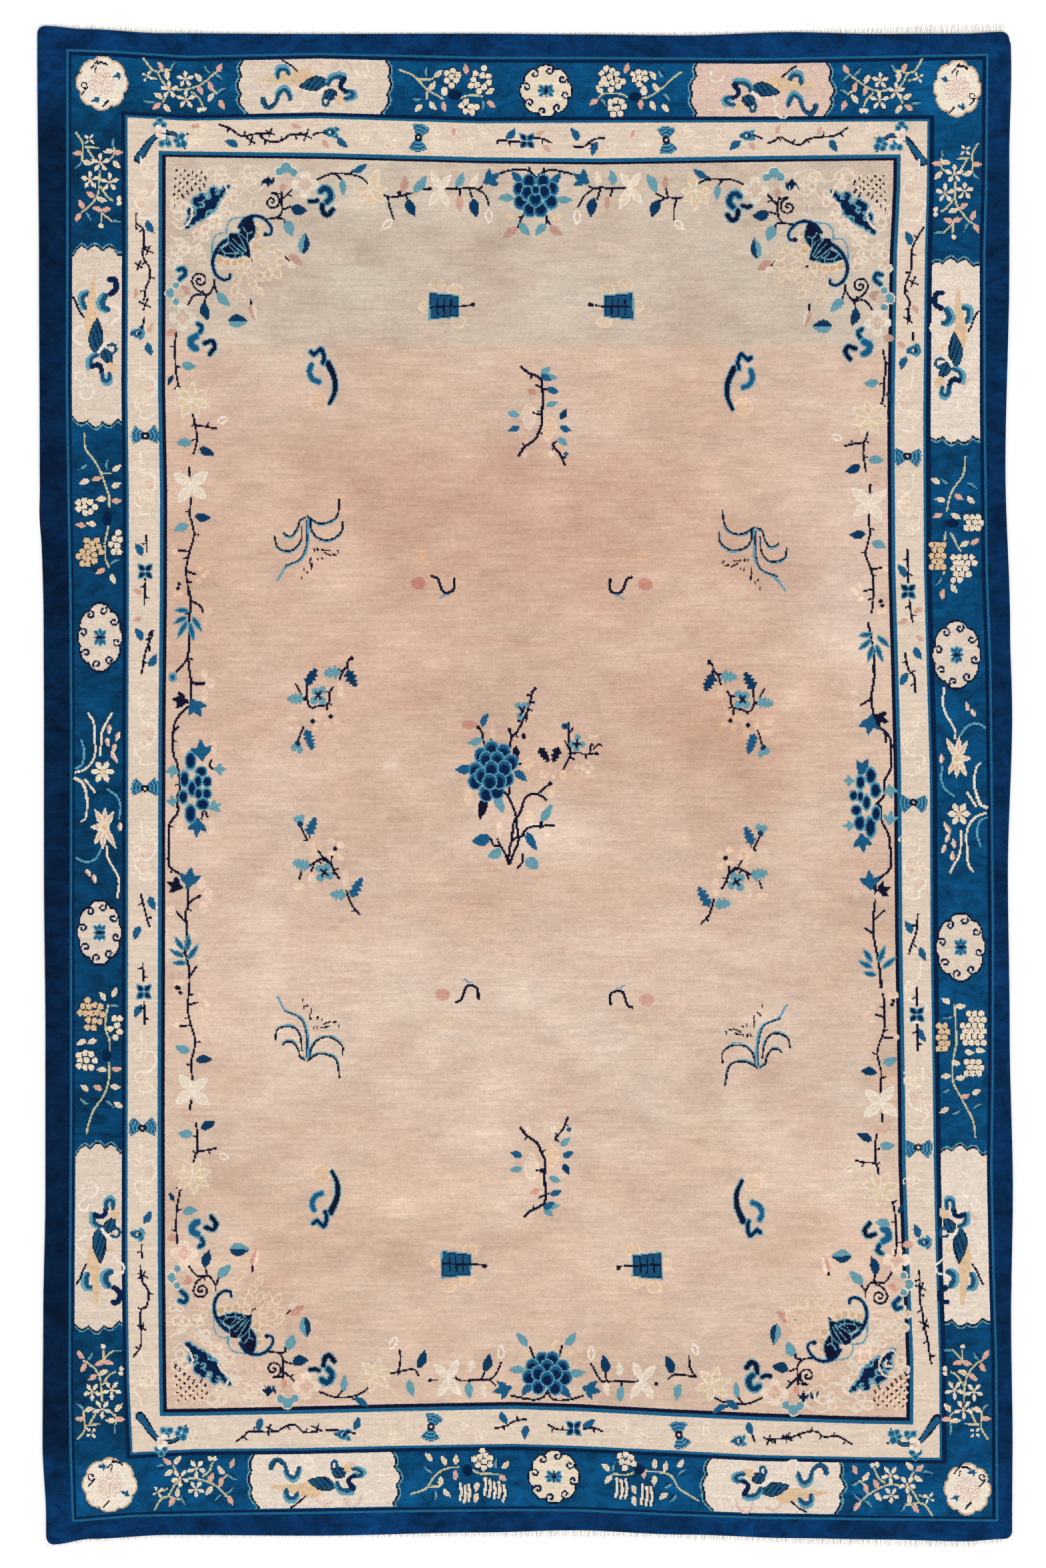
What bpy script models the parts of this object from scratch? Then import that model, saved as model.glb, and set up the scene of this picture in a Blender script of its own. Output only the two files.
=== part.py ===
# A large antique hand-knotted wool rug, lying flat, with a short cut warp fringe at each end.
#
# Metres, +Z up. The origin is on the floor under the middle of the rug, +Y runs along its
# length and +X across its width. The rug is one woven piece: a thin foundation and the pile
# that stands on it. At each end the warp ends come out from under the pile as a narrow woven
# strip with its fringe.

import math
import random

import bmesh
import bpy

# Driving dimensions.
RUG_WIDTH = 2.740
RUG_LENGTH = 4.255
FOUNDATION_THICKNESS = 0.0030
PILE_FOOT_HEIGHT = 0.0036
PILE_BELLY_HEIGHT = 0.0062
RUG_THICKNESS = 0.0110
SHOULDER_WIDTH = 0.0080
CORNER_RADIUS = 0.022
SIDE_SETBACK = 0.0012
END_SETBACK = 0.0145

# The unevenness of the crown of the pile: height, and waves along the width and the length.
CROWN_WAVES = (
    {"height": 0.00045, "across": 1.5, "along": 2.0, "phase": 0.6},
    {"height": 0.00035, "across": -2.5, "along": 4.0, "phase": 2.1},
    {"height": 0.00030, "across": 4.0, "along": 5.5, "phase": 4.4},
)

# How far each side of the hand-made outline lies outside a true rectangle, in millimetres.
# "at" is the place along that side in metres, from the middle of the rug.
SIDE_DRIFT = (
    {"at": 2.04, "left": 15, "right": -2},
    {"at": 1.47, "left": 10, "right": -2},
    {"at": 0.90, "left": 8, "right": -13},
    {"at": 0.45, "left": -3, "right": 0},
    {"at": 0.20, "left": -4, "right": 6},
    {"at": -0.25, "left": -4, "right": -6},
    {"at": -0.70, "left": -8, "right": -1},
    {"at": -1.15, "left": -8, "right": 8},
    {"at": -1.50, "left": -2, "right": 3},
    {"at": -1.85, "left": 0, "right": 7},
    {"at": -2.06, "left": -10, "right": 6},
)
END_DRIFT = (
    {"at": -1.35, "far": 22, "near": 25},
    {"at": -1.24, "far": 13, "near": 9},
    {"at": -1.02, "far": 1, "near": -2},
    {"at": -0.60, "far": -1, "near": 0},
    {"at": -0.13, "far": 0, "near": -9},
    {"at": 0.13, "far": -2, "near": -15},
    {"at": 0.45, "far": -5, "near": -3},
    {"at": 0.75, "far": 4, "near": 7},
    {"at": 1.00, "far": -1, "near": 11},
    {"at": 1.24, "far": 0, "near": 16},
    {"at": 1.35, "far": 5, "near": 9},
)

# Where the undyed side cord of the foundation shows beside the pile.
SIDE_CORD_SHOWS = (
    {"side": 1, "at": 2.02, "reach": 0.16, "width": 0.0065},
    {"side": -1, "at": 0.76, "reach": 0.07, "width": 0.0045},
)

# Lines of the mesh: a few close ones over the shoulder, then even ones.
SHOULDER_LINES = (0.0, 0.0025, 0.0080, 0.0220)
EVEN_LINES_ACROSS = 25
EVEN_LINES_ALONG = 39

# The woven end strip and its fringe.
STRIP_GAP = 0.0004
STRIP_HIDDEN = 0.0020
STRIP_THICKNESS = 0.0026
STRIP_END_INSET = 0.020
LOCKS_PER_END = 120
LOCK_ROOT_SHARE = 0.62
LOCK_TIP_SHARE = 0.40
LOCK_TIP_THICKNESS = 0.0018
LOCK_LEAN = 0.0030
LOCK_UNEVENNESS = 0.0012
FRINGE_TIPS = (
    {"at": -1.36, "far": 28, "near": 31},
    {"at": -1.22, "far": 23, "near": 17},
    {"at": -1.02, "far": 14, "near": 7},
    {"at": -0.75, "far": 6, "near": 6},
    {"at": -0.13, "far": 4, "near": 4},
    {"at": 0.33, "far": 4, "near": 5},
    {"at": 0.55, "far": 6, "near": 14},
    {"at": 0.90, "far": 15, "near": 26},
    {"at": 1.22, "far": 25, "near": 33},
    {"at": 1.36, "far": 28, "near": 20},
)

# How quickly the drift of an edge fades towards the opposite edge.
SIDE_FADE_POWER = 4
END_FADE_POWER = 6

FRINGE_SEEDS = {"far": 3, "near": 7}
CAMEL = (0.57, 0.37, 0.26, 1.0)
COTTON = (0.78, 0.75, 0.68, 1.0)
WOOL_ROUGHNESS = 0.9
COTTON_ROUGHNESS = 0.85
SHARP_ANGLE_DEGREES = 40.0
MILLIMETRE = 0.001
TURN = 2.0 * math.pi


def clear_scene():
    for thing in list(bpy.data.objects):
        bpy.data.objects.remove(thing)


def yarn_material(name, colour, roughness):
    material = bpy.data.materials.new(name)
    material.use_nodes = True
    shader = material.node_tree.nodes["Principled BSDF"]
    shader.inputs["Base Color"].default_value = colour
    shader.inputs["Roughness"].default_value = roughness
    shader.inputs["Metallic"].default_value = 0.0
    return material


def read_table(rows, column, at):
    """The smooth value of one column of a table between the two rows on either side of a place."""
    ordered = sorted(rows, key=lambda row: row["at"])
    if at <= ordered[0]["at"]:
        return ordered[0][column]
    for low, high in zip(ordered, ordered[1:]):
        if at <= high["at"]:
            share = (at - low["at"]) / (high["at"] - low["at"])
            eased = share * share * (3.0 - 2.0 * share)
            return low[column] + (high[column] - low[column]) * eased
    return ordered[-1][column]


def rounded_corner(across, along, half_width, half_length, radius):
    """Bends the square corner of the outline into a quarter circle, and leaves the rest alone."""
    over_x = abs(across) - (half_width - radius)
    over_y = abs(along) - (half_length - radius)
    if over_x <= 0.0 or over_y <= 0.0:
        return across, along
    a = over_x / radius
    b = over_y / radius
    round_x = half_width - radius + radius * a * math.sqrt(1.0 - b * b / 2.0)
    round_y = half_length - radius + radius * b * math.sqrt(1.0 - a * a / 2.0)
    return math.copysign(round_x, across), math.copysign(round_y, along)


def drifted(across, along):
    """Moves a point of the true rectangle to where it lies on the uneven rug."""
    right_share = 0.5 + across / RUG_WIDTH
    far_share = 0.5 + along / RUG_LENGTH
    left = read_table(SIDE_DRIFT, "left", along)
    right = read_table(SIDE_DRIFT, "right", along)
    far = read_table(END_DRIFT, "far", across)
    near = read_table(END_DRIFT, "near", across)
    outward_x = (
        right * right_share ** SIDE_FADE_POWER - left * (1.0 - right_share) ** SIDE_FADE_POWER
    )
    outward_y = far * far_share ** END_FADE_POWER - near * (1.0 - far_share) ** END_FADE_POWER
    return across + outward_x * MILLIMETRE, along + outward_y * MILLIMETRE


def outline_point(u, v, side_inset, end_inset):
    """The place of a point given by u and v, both -1 to 1, on a rug drawn in by the two insets."""
    half_width = RUG_WIDTH / 2.0 - side_inset
    half_length = RUG_LENGTH / 2.0 - end_inset
    across, along = rounded_corner(
        u * half_width, v * half_length, half_width, half_length, CORNER_RADIUS
    )
    return drifted(across, along)


def crown_height(u, v):
    """The height of the top of the pile, which rounds over at the edge."""
    edge = min((1.0 - abs(u)) * RUG_WIDTH, (1.0 - abs(v)) * RUG_LENGTH) / 2.0
    rise = 1.0 - min(edge / SHOULDER_WIDTH, 1.0)
    crown = RUG_THICKNESS
    for wave in CROWN_WAVES:
        turns = wave["across"] * u / 2.0 + wave["along"] * v / 2.0
        crown += wave["height"] * math.sin(TURN * turns + wave["phase"])
    return PILE_BELLY_HEIGHT + (crown - PILE_BELLY_HEIGHT) * math.sqrt(1.0 - rise * rise)


def grid_lines(size, even_count):
    """The shares, from -1 to 1, of the mesh lines across one size of the rug."""
    half = size / 2.0
    close = [1.0 - inset / half for inset in SHOULDER_LINES]
    inner = close[-1]
    even = [inner * (2.0 * i / (even_count + 1) - 1.0) for i in range(1, even_count + 1)]
    return [-share for share in close] + even + close[::-1]


def side_cord_width(u, along):
    """How far the foundation stands out past the pile on that side, at that place."""
    if abs(u) < 1.0:
        return 0.0
    width = 0.0
    for cord in SIDE_CORD_SHOWS:
        distance = (along - cord["at"]) / cord["reach"]
        if cord["side"] * u > 0.0:
            width += cord["width"] * math.exp(-distance * distance)
    return width


def draw_ring_down(bm, ring, shares, side_inset, end_inset, height, with_cord):
    """Extrudes the outer edge loop and puts the new loop at its own inset and height."""
    made = bmesh.ops.extrude_edge_only(bm, edges=ring)["geom"]
    new_edges = [part for part in made if isinstance(part, bmesh.types.BMEdge)]
    new_ring = [edge for edge in new_edges if edge.is_boundary]
    corners = {vert for edge in new_ring for vert in edge.verts}
    for vert in corners:
        below = next(e.other_vert(vert) for e in vert.link_edges if e not in new_ring)
        u, v = shares[below]
        x, y = outline_point(u, v, side_inset, end_inset)
        if with_cord:
            x += math.copysign(side_cord_width(u, y), u)
        vert.co = (x, y, height)
        shares[vert] = (u, v)
    return new_ring


def build_rug():
    """The rug's one solid: the crown of the pile, its rounded edge, and the foundation below."""
    across = grid_lines(RUG_WIDTH, EVEN_LINES_ACROSS)
    along = grid_lines(RUG_LENGTH, EVEN_LINES_ALONG)
    bm = bmesh.new()
    bmesh.ops.create_grid(
        bm, x_segments=len(across) - 1, y_segments=len(along) - 1, size=1.0
    )
    bm.verts.ensure_lookup_table()
    shares = {}
    for vert in bm.verts:
        column = round((vert.co.x + 1.0) / 2.0 * (len(across) - 1))
        row = round((vert.co.y + 1.0) / 2.0 * (len(along) - 1))
        shares[vert] = (across[column], along[row])
    for vert, (u, v) in shares.items():
        x, y = outline_point(u, v, 0.0, 0.0)
        vert.co = (x, y, crown_height(u, v))
    ring = [edge for edge in bm.edges if edge.is_boundary]
    ring = draw_ring_down(bm, ring, shares, SIDE_SETBACK, SIDE_SETBACK, PILE_FOOT_HEIGHT, False)
    ring = draw_ring_down(
        bm, ring, shares, SIDE_SETBACK, END_SETBACK, FOUNDATION_THICKNESS, True
    )
    ring = draw_ring_down(bm, ring, shares, SIDE_SETBACK, END_SETBACK, 0.0, True)
    bmesh.ops.contextual_create(bm, geom=ring)
    bmesh.ops.recalc_face_normals(bm, faces=bm.faces)
    return finish_object("rug", bm, yarn_material("camel_wool", CAMEL, WOOL_ROUGHNESS))


def foundation_end(end):
    """The corners of the foundation's edge at one end, as the rug's own mesh lines give them."""
    return [
        outline_point(u, end, SIDE_SETBACK, END_SETBACK)
        for u in grid_lines(RUG_WIDTH, EVEN_LINES_ACROSS)
    ]


def straight_between(places, x):
    """The Y of a line of straight stretches at that X."""
    for (x_a, y_a), (x_b, y_b) in zip(places, places[1:]):
        if x <= x_b:
            return y_a + (y_b - y_a) * (x - x_a) / (x_b - x_a)
    return places[-1][1]


def strip_places(end, places, x):
    """The inner and outer edges of the end strip, and the line of the fringe's tips, along Y."""
    side = "far" if end > 0 else "near"
    foundation = abs(straight_between(places, x))
    inner = foundation + STRIP_GAP
    outer = foundation + END_SETBACK - STRIP_HIDDEN
    tips = RUG_LENGTH / 2.0 + read_table(FRINGE_TIPS, side, x) * MILLIMETRE
    return inner, outer, max(tips, outer + 2.0 * STRIP_HIDDEN)


def build_fringe(name, end, seed):
    """One woven end strip with its row of fringe locks, drawn in plan and then extruded."""
    chance = random.Random(seed)
    places = foundation_end(end)
    half_span = RUG_WIDTH / 2.0 - STRIP_END_INSET
    pitch = 2.0 * half_span / LOCKS_PER_END
    bm = bmesh.new()
    stations = []
    tips = []
    for lock in range(LOCKS_PER_END):
        middle = -half_span + (lock + 0.5) * pitch
        for side in (-1, 1):
            x = middle + side * pitch * LOCK_ROOT_SHARE / 2.0
            inner, outer, _ = strip_places(end, places, x)
            stations.append(
                (bm.verts.new((x, end * inner, 0.0)), bm.verts.new((x, end * outer, 0.0)))
            )
        lean = chance.uniform(-LOCK_LEAN, LOCK_LEAN)
        uneven = chance.uniform(-LOCK_UNEVENNESS, LOCK_UNEVENNESS)
        reach = strip_places(end, places, middle)[2] + uneven
        half_tip = pitch * LOCK_TIP_SHARE / 2.0
        tips.append([
            bm.verts.new((middle + lean + side * half_tip, end * reach, 0.0))
            for side in (-1, 1)
        ])
    for left, right in zip(stations, stations[1:]):
        bends = [
            bm.verts.new((x, end * (abs(y) + STRIP_GAP), 0.0))
            for x, y in places
            if left[0].co.x < x < right[0].co.x
        ]
        bm.faces.new((left[0], *bends, right[0], right[1], left[1]))
    for lock, (left_tip, right_tip) in enumerate(tips):
        left_root = stations[2 * lock][1]
        right_root = stations[2 * lock + 1][1]
        bm.faces.new((left_root, right_root, right_tip, left_tip))
    tip_places = {tuple(tip.co.xy) for pair in tips for tip in pair}
    made = bmesh.ops.extrude_face_region(bm, geom=bm.faces[:])["geom"]
    for part in made:
        if isinstance(part, bmesh.types.BMVert):
            at_tip = tuple(part.co.xy) in tip_places
            part.co.z = LOCK_TIP_THICKNESS if at_tip else STRIP_THICKNESS
    bmesh.ops.recalc_face_normals(bm, faces=bm.faces)
    return finish_object(name, bm, yarn_material(name + "_cotton", COTTON, COTTON_ROUGHNESS))


def finish_object(name, bm, material):
    mesh = bpy.data.meshes.new(name)
    bm.to_mesh(mesh)
    bm.free()
    mesh.materials.append(material)
    thing = bpy.data.objects.new(name, mesh)
    bpy.context.scene.collection.objects.link(thing)
    return thing


def main():
    clear_scene()
    rug = build_rug()
    rug.data.shade_smooth()
    rug.data.set_sharp_from_angle(angle=math.radians(SHARP_ANGLE_DEGREES))
    build_fringe("fringe_far", 1, FRINGE_SEEDS["far"])
    build_fringe("fringe_near", -1, FRINGE_SEEDS["near"])


main()
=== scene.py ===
# A large hand-knotted wool rug of the Chinese kind, lying flat, seen from straight above.
# The weaver works from a cartoon in squares. Here too every figure is placed in squares of a
# cartoon, counted from its top left corner, and tied knot by knot into a chart of dyes.

import bpy
import numpy as np
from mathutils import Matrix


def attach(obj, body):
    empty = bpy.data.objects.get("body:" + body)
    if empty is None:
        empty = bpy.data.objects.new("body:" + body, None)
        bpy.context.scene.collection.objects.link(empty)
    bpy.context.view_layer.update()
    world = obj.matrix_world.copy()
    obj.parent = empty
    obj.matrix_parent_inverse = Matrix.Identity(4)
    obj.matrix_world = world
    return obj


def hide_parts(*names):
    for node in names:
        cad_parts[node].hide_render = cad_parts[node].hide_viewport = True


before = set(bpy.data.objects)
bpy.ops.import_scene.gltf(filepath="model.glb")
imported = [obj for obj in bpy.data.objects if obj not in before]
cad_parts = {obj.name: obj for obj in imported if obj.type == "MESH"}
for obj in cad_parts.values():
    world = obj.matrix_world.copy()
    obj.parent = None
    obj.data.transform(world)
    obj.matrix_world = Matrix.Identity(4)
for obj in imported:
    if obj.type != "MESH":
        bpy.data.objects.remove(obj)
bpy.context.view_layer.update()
print("frame loaded")

square = 0.00189                                   # metres to a square of the cartoon
knot = 0.0034                                      # metres from knot to knot
knotSquares = knot / square                        # squares to a knot
middle = {"x": 789.0, "y": 1176.5}                 # the rug's middle on the cartoon
cartoon = {"left": 40.0, "top": 40.0, "right": 1540.0, "bottom": 2320.0}
chance = np.random.default_rng(31)


# Rows of a table, each with its values by name
def table(names, *rows):
    return [dict(zip(names.split(), row)) for row in rows]


# A colour as the eye reads it, 0 to 255, made linear: ((c + 0.055) / 1.055) to the 2.4
def linear(red, green, blue):
    seen = np.array([red, green, blue]) / 255.0
    return np.where(seen <= 0.04045, seen / 12.92, ((seen + 0.055) / 1.055) ** 2.4)


# Dyes

grounds = {"band": (2, 40, 78), "blue": (4, 67, 108), "cream": (231, 211, 191),
           "field": (225, 196, 174)}
dyes = {
    "creamYarn": (237, 219, 199), "strawYarn": (228, 202, 169), "milkYarn": (244, 230, 214),
    "tailYarn": (228, 195, 158), "panelRose": (226, 196, 182), "panelPale": (244, 231, 215),
    "cloudYarn": (235, 216, 196), "panelBlush": (228, 198, 182), "panelLight": (237, 220, 204),
    "peachYarn": (233, 209, 184), "wing": (26, 82, 118),
    "ink": (14, 18, 46), "dusk": (2, 32, 68), "navy": (5, 32, 72), "deep": (10, 56, 93),
    "mid": (27, 91, 132), "sky": (98, 160, 180), "line": (27, 98, 138), "teal": (106, 158, 172),
    "bone": (238, 221, 196), "ivory": (245, 232, 214), "panel": (229, 210, 192),
    "straw": (206, 196, 154), "rosePale": (222, 170, 152), "petal": (228, 192, 180),
    "tan": (214, 178, 142), "blushYarn": (226, 178, 156),
    "ochreYarn": (238, 210, 168), "sand": (226, 192, 150),
}
tints = {                                          # dyes a little off the ground they stand on
    "pale": (1.10, 1.14, 1.15), "paler": (1.17, 1.24, 1.28), "ochre": (1.07, 1.02, 0.91),
    "ochrePale": (1.19, 1.17, 1.11), "clay": (1.00, 0.97, 0.91),
    "blush": (1.01, 0.91, 0.91), "rosy": (0.86, 0.60, 0.60),
    "shade": (0.93, 0.91, 0.89),
}
dyeNames = list(dyes) + list(tints)
dyeNumber = {name: number + 1 for number, name in enumerate(dyeNames)}


# Lines of the border, uneven as woven: the middle of each line, in squares

leftLines = table("at guard inner field",
    (77, 102.0, 187.0, 241.5), (370, 101.8, 188.5, 241.0), (590, 101.0, 187.5, 240.4),
    (740, 103.4, 189.4, 243.4), (900, 106.3, 189.6, 243.0), (1100, 107.5, 188.8, 240.8),
    (1370, 107.0, 188.4, 240.2), (1670, 107.3, 188.0, 239.6), (1890, 105.8, 187.6, 240.0),
    (2070, 105.0, 190.0, 241.8), (2170, 106.5, 195.3, 244.0), (2278, 110.5, 196.5, 244.0))
rightLines = table("at guard inner field",
    (88, 1478.0, 1395.5, 1348.0), (280, 1476.2, 1394.2, 1346.0), (380, 1473.5, 1391.5, 1341.0),
    (620, 1474.0, 1389.2, 1337.0), (850, 1477.0, 1390.0, 1338.5), (1000, 1482.5, 1394.5, 1343.0),
    (1150, 1484.2, 1399.0, 1347.0), (1400, 1486.5, 1400.0, 1349.0), (1600, 1486.0, 1403.0, 1352.5),
    (1740, 1484.0, 1404.9, 1354.0), (1890, 1487.0, 1408.0, 1360.0), (2030, 1491.3, 1412.5, 1366.0),
    (2278, 1492.5, 1414.0, 1365.0))
topLines = table("at guard inner field",
    (105, 77.0, 170.0, 227.0), (180, 80.0, 172.0, 228.0), (280, 87.0, 178.0, 230.0),
    (480, 82.5, 174.0, 232.5), (720, 88.5, 181.5, 239.0), (900, 89.0, 180.5, 241.0),
    (1150, 90.5, 180.0, 237.0), (1480, 84.0, 178.0, 233.0))
bottomLines = table("at guard inner field",
    (110, 2278.5, 2185.0, 2120.0), (190, 2271.6, 2182.0, 2120.0), (290, 2269.3, 2176.4, 2119.0),
    (450, 2267.0, 2175.0, 2115.6), (594, 2264.5, 2171.5, 2112.0), (763, 2262.5, 2168.7, 2108.8),
    (858, 2263.0, 2171.8, 2112.0), (998, 2269.5, 2178.7, 2119.8), (1124, 2274.0, 2185.6, 2125.8),
    (1280, 2276.2, 2188.6, 2131.0), (1492, 2278.4, 2190.0, 2134.5))


# One column of a table, straight between its rows
def column(rows, name, at):
    return np.interp(at, [row["at"] for row in rows], [row[name] for row in rows])


# How far a place lies inside one of the border's lines: the least of its four distances
def inset(line, x, y):
    across = np.minimum(x - column(leftLines, line, y), column(rightLines, line, y) - x)
    along = np.minimum(y - column(topLines, line, x), column(bottomLines, line, x) - y)
    return np.minimum(across, along)


# Wear and uneven dye of the wool, as soft patches, and painted light and shade on the blues

abrash = {"y": 517.0, "leftY": 500.0, "soft": 3.0, "grey": (0.91, 1.01, 1.05),
          "stepX": 330.0, "stepWide": 40.0,
          "fade": 0.55, "fadeTo": 610.0, "fadeAt": 430.0, "fadeWide": 230.0}
patches = table("x y wide high by",
    (800, 790, 420, 190, (0.93, 0.80, 0.76)), (600, 700, 160, 60, (0.97, 0.93, 0.91)),
    (1060, 1080, 210, 130, (0.95, 0.86, 0.82)), (1110, 1190, 60, 190, (0.95, 0.91, 0.89)),
    (560, 1090, 260, 150, (0.95, 0.88, 0.86)), (740, 1360, 330, 60, (0.97, 0.92, 0.90)),
    (860, 1490, 330, 160, (1.04, 1.08, 1.11)), (560, 1560, 260, 210, (1.03, 1.06, 1.08)),
    (500, 1850, 180, 120, (0.98, 0.94, 0.91)), (1080, 1690, 170, 220, (1.00, 1.03, 1.05)),
    (1055, 1660, 40, 90, (0.96, 0.94, 0.90)), (820, 1980, 380, 130, (1.02, 1.02, 1.02)),
    (800, 1250, 110, 34, (1.09, 1.14, 1.17)), (385, 1210, 110, 190, (1.03, 1.05, 1.08)),
    (1240, 800, 110, 260, (1.04, 1.08, 1.12)), (1290, 1500, 70, 330, (0.97, 0.93, 0.91)),
    (900, 1000, 90, 70, (1.06, 1.11, 1.13)), (1040, 1170, 26, 90, (0.92, 0.87, 0.83)),
    (800, 640, 120, 40, (1.02, 1.12, 1.18)), (620, 900, 60, 80, (0.96, 0.93, 0.90)),
    (1280, 1600, 40, 120, (1.03, 1.13, 1.19)), (1270, 900, 50, 120, (1.08, 1.13, 1.18)),
    (330, 600, 60, 70, (0.94, 0.91, 0.94)), (1280, 1880, 50, 110, (1.10, 1.14, 1.17)),
    (330, 1400, 50, 100, (0.95, 0.92, 0.92)), (330, 1880, 50, 90, (1.05, 1.07, 1.08)),
    (943, 1150, 12, 120, (1.03, 1.06, 1.08)), (730, 960, 35, 80, (1.03, 1.06, 1.07)),
    (1050, 1648, 12, 14, (1.05, 1.12, 1.17)), (586, 1146, 9, 11, (1.10, 1.22, 1.32)),
    (600, 1250, 60, 150, (1.03, 1.05, 1.06)), (300, 880, 70, 240, (0.98, 0.93, 0.90)))
# Painted light and shade of the nap on the blues, then uneven dye lots in the field, each in three
# sizes
napLightDrift = table("wide high by seed", (120, 120, 0.10, 3), (34, 40, 0.10, 4), (14, 16, 0.06, 8))
lotDrift = table("wide high by seed", (150, 90, 0.030, 5), (46, 30, 0.034, 6), (26, 7, 0.036, 7))
driftSpan = {"x": 1700.0, "y": 2500.0}
# Painted light and shade on the two blues: darker at the left side, lighter towards the right, and
# lighter at the ends
sides = {"left": 0.60, "right": 1.12, "from": 200.0, "over": 1200.0,
         "ends": 1.45, "endsFrom": 985.0, "endsOver": 70.0}


# Uneven dye and painted nap light: random values on a coarse grid, eased from one to the next
def mottle(x, y, wide, high, seed):
    count = int(driftSpan["y"] / high) + 4, int(driftSpan["x"] / wide) + 4
    values = np.random.default_rng(seed).normal(0.0, 1.0, count)
    u, v = x / wide + 1.0, y / high + 1.0
    col = np.clip(u.astype(int), 0, values.shape[1] - 2)
    row = np.clip(v.astype(int), 0, values.shape[0] - 2)
    s, t = (0.5 - 0.5 * np.cos(np.pi * np.clip(part, 0.0, 1.0)) for part in (u - col, v - row))
    upper = values[row, col] * (1.0 - s) + values[row, col + 1] * s
    lower = values[row + 1, col] * (1.0 - s) + values[row + 1, col + 1] * s
    return upper * (1.0 - t) + lower * t


# Uneven dye, and painted nap light, in several sizes at once
def drift(rows, x, y):
    return np.exp(sum(row["by"] * mottle(x, y, row["wide"], row["high"], row["seed"])
                      for row in rows))


# What the ground's colour is multiplied by: bell-shaped patches in the field, a grey lot of wool above
# the abrash line, and painted light and shade on the blues, lighter at the ends, darker at the left and
# patchy from the nap
def wearAndPaintedLight(x, y):
    factor = np.ones(x.shape + (3,))
    for patch in patches:
        u, v = (x - patch["x"]) / patch["wide"], (y - patch["y"]) / patch["high"]
        bell = np.exp(-u ** 2 - v ** 2)
        factor *= 1.0 + bell[..., None] * (np.array(patch["by"]) - 1.0)
    stepped = np.clip((x - abrash["stepX"]) / abrash["stepWide"], 0.0, 1.0)
    change = abrash["leftY"] + (abrash["y"] - abrash["leftY"]) * stepped
    above = np.clip((change - y) / abrash["soft"] + 0.5, 0.0, 1.0)
    fade = np.exp(-((x - abrash["fadeAt"]) / abrash["fadeWide"]) ** 2)
    fade = abrash["fade"] * fade
    fade = fade * np.clip((abrash["fadeTo"] - y) / (abrash["fadeTo"] - change), 0.0, 1.0)
    above = np.maximum(above, fade * (y > change))[..., None]
    factor *= 1.0 + above * (np.array(abrash["grey"]) - 1.0)
    # Painted light and shade on the blues: a slope from left to right, lighter ends, patches from the
    # nap, and half of it on the blue ground
    ends = np.clip((np.abs(y - middle["y"]) - sides["endsFrom"]) / sides["endsOver"], 0.0, 1.0)
    share = np.clip((x - sides["from"]) / sides["over"], 0.0, 1.0)
    side = sides["left"] + (sides["right"] - sides["left"]) * share
    light = side + (sides["ends"] - side) * ends
    light *= drift(napLightDrift, x, y)
    light = np.where(inset("guard", x, y) > 0.0, np.sqrt(light), light)[..., None]
    factor *= drift(lotDrift, x, y)[..., None]
    factor = np.where((inset("field", x, y) > 0.0)[..., None], factor, 1.0)
    return np.where((inset("inner", x, y) < 0.0)[..., None], light, factor)


# The linear colour of the plain ground at a place, with its wear and the painted light and shade of the
# blues
def groundColour(x, y):
    colour = np.broadcast_to(linear(*grounds["band"]), x.shape + (3,)).copy()
    for line, name in (("guard", "blue"), ("inner", "cream"), ("field", "field")):
        colour[inset(line, x, y) > 0.0] = linear(*grounds[name])
    return colour * wearAndPaintedLight(x, y)


# The chart of knots, and the ways of drawing on it

straight = {"guard": (105.0, 1483.0, 86.0, 2270.0), "inner": (189.0, 1400.0, 178.0, 2178.0),
            "field": (241.0, 1350.0, 235.0, 2120.0)}   # left, right, top and bottom on the chart
chartX = np.arange(cartoon["left"] + knotSquares / 2.0, cartoon["right"], knotSquares)
chartY = np.arange(cartoon["top"] + knotSquares / 2.0, cartoon["bottom"], knotSquares)


# How far a chart's place is pulled from its straight line: the pull of each line, spread
# evenly between that line and the next
def pull(lowRows, highRows, pair, s, t):
    names = ("guard", "inner", "field")
    nodes = [straight[name][pair] for name in names]
    nodes += [straight[name][pair + 1] for name in names[::-1]]
    pulls = [column(lowRows, name, t) - straight[name][pair] for name in names]
    pulls += [column(highRows, name, t) - straight[name][pair + 1] for name in names[::-1]]
    return sum(np.interp(s, nodes, hat) * off for hat, off in zip(np.eye(6), pulls))


# Where a place of the straight chart lies on the uneven rug, in squares
def bent(s, t):
    return s + pull(leftLines, rightLines, 0, s, t), t + pull(topLines, bottomLines, 2, t, s)


# The other way round, closing in on it in a few steps
def unbent(x, y):
    s, t = x, y
    for _ in range(3):
        gotX, gotY = bent(s, t)
        s, t = s + x - gotX, t + y - gotY
    return s, t


knotX, knotY = bent(*np.meshgrid(chartX, chartY))
chart = np.zeros(knotX.shape, np.uint8)
nowhere = -99.0                                    # a depth that no coat reaches
hand = {"x": 0.0, "y": 0.0, "flipX": 1.0, "flipY": 1.0}


# Draws a group of figures moved to x and y, and turned over where a flip is -1
def placed(group, x=0.0, y=0.0, flipX=1.0, flipY=1.0):
    kept = dict(hand)
    hand.update(x=x, y=y, flipX=flipX, flipY=flipY)
    group()
    hand.update(kept)


# Draws one figure for each row of its values; the rest are values that all rows share
def each(draw, *rows, rest=()):
    for row in rows:
        draw(*row, *rest)


# Draws a group as it stands, and once more for each move and flip
def repeated(group, *places):
    for place in ((), *places):
        placed(group, *place)


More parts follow.
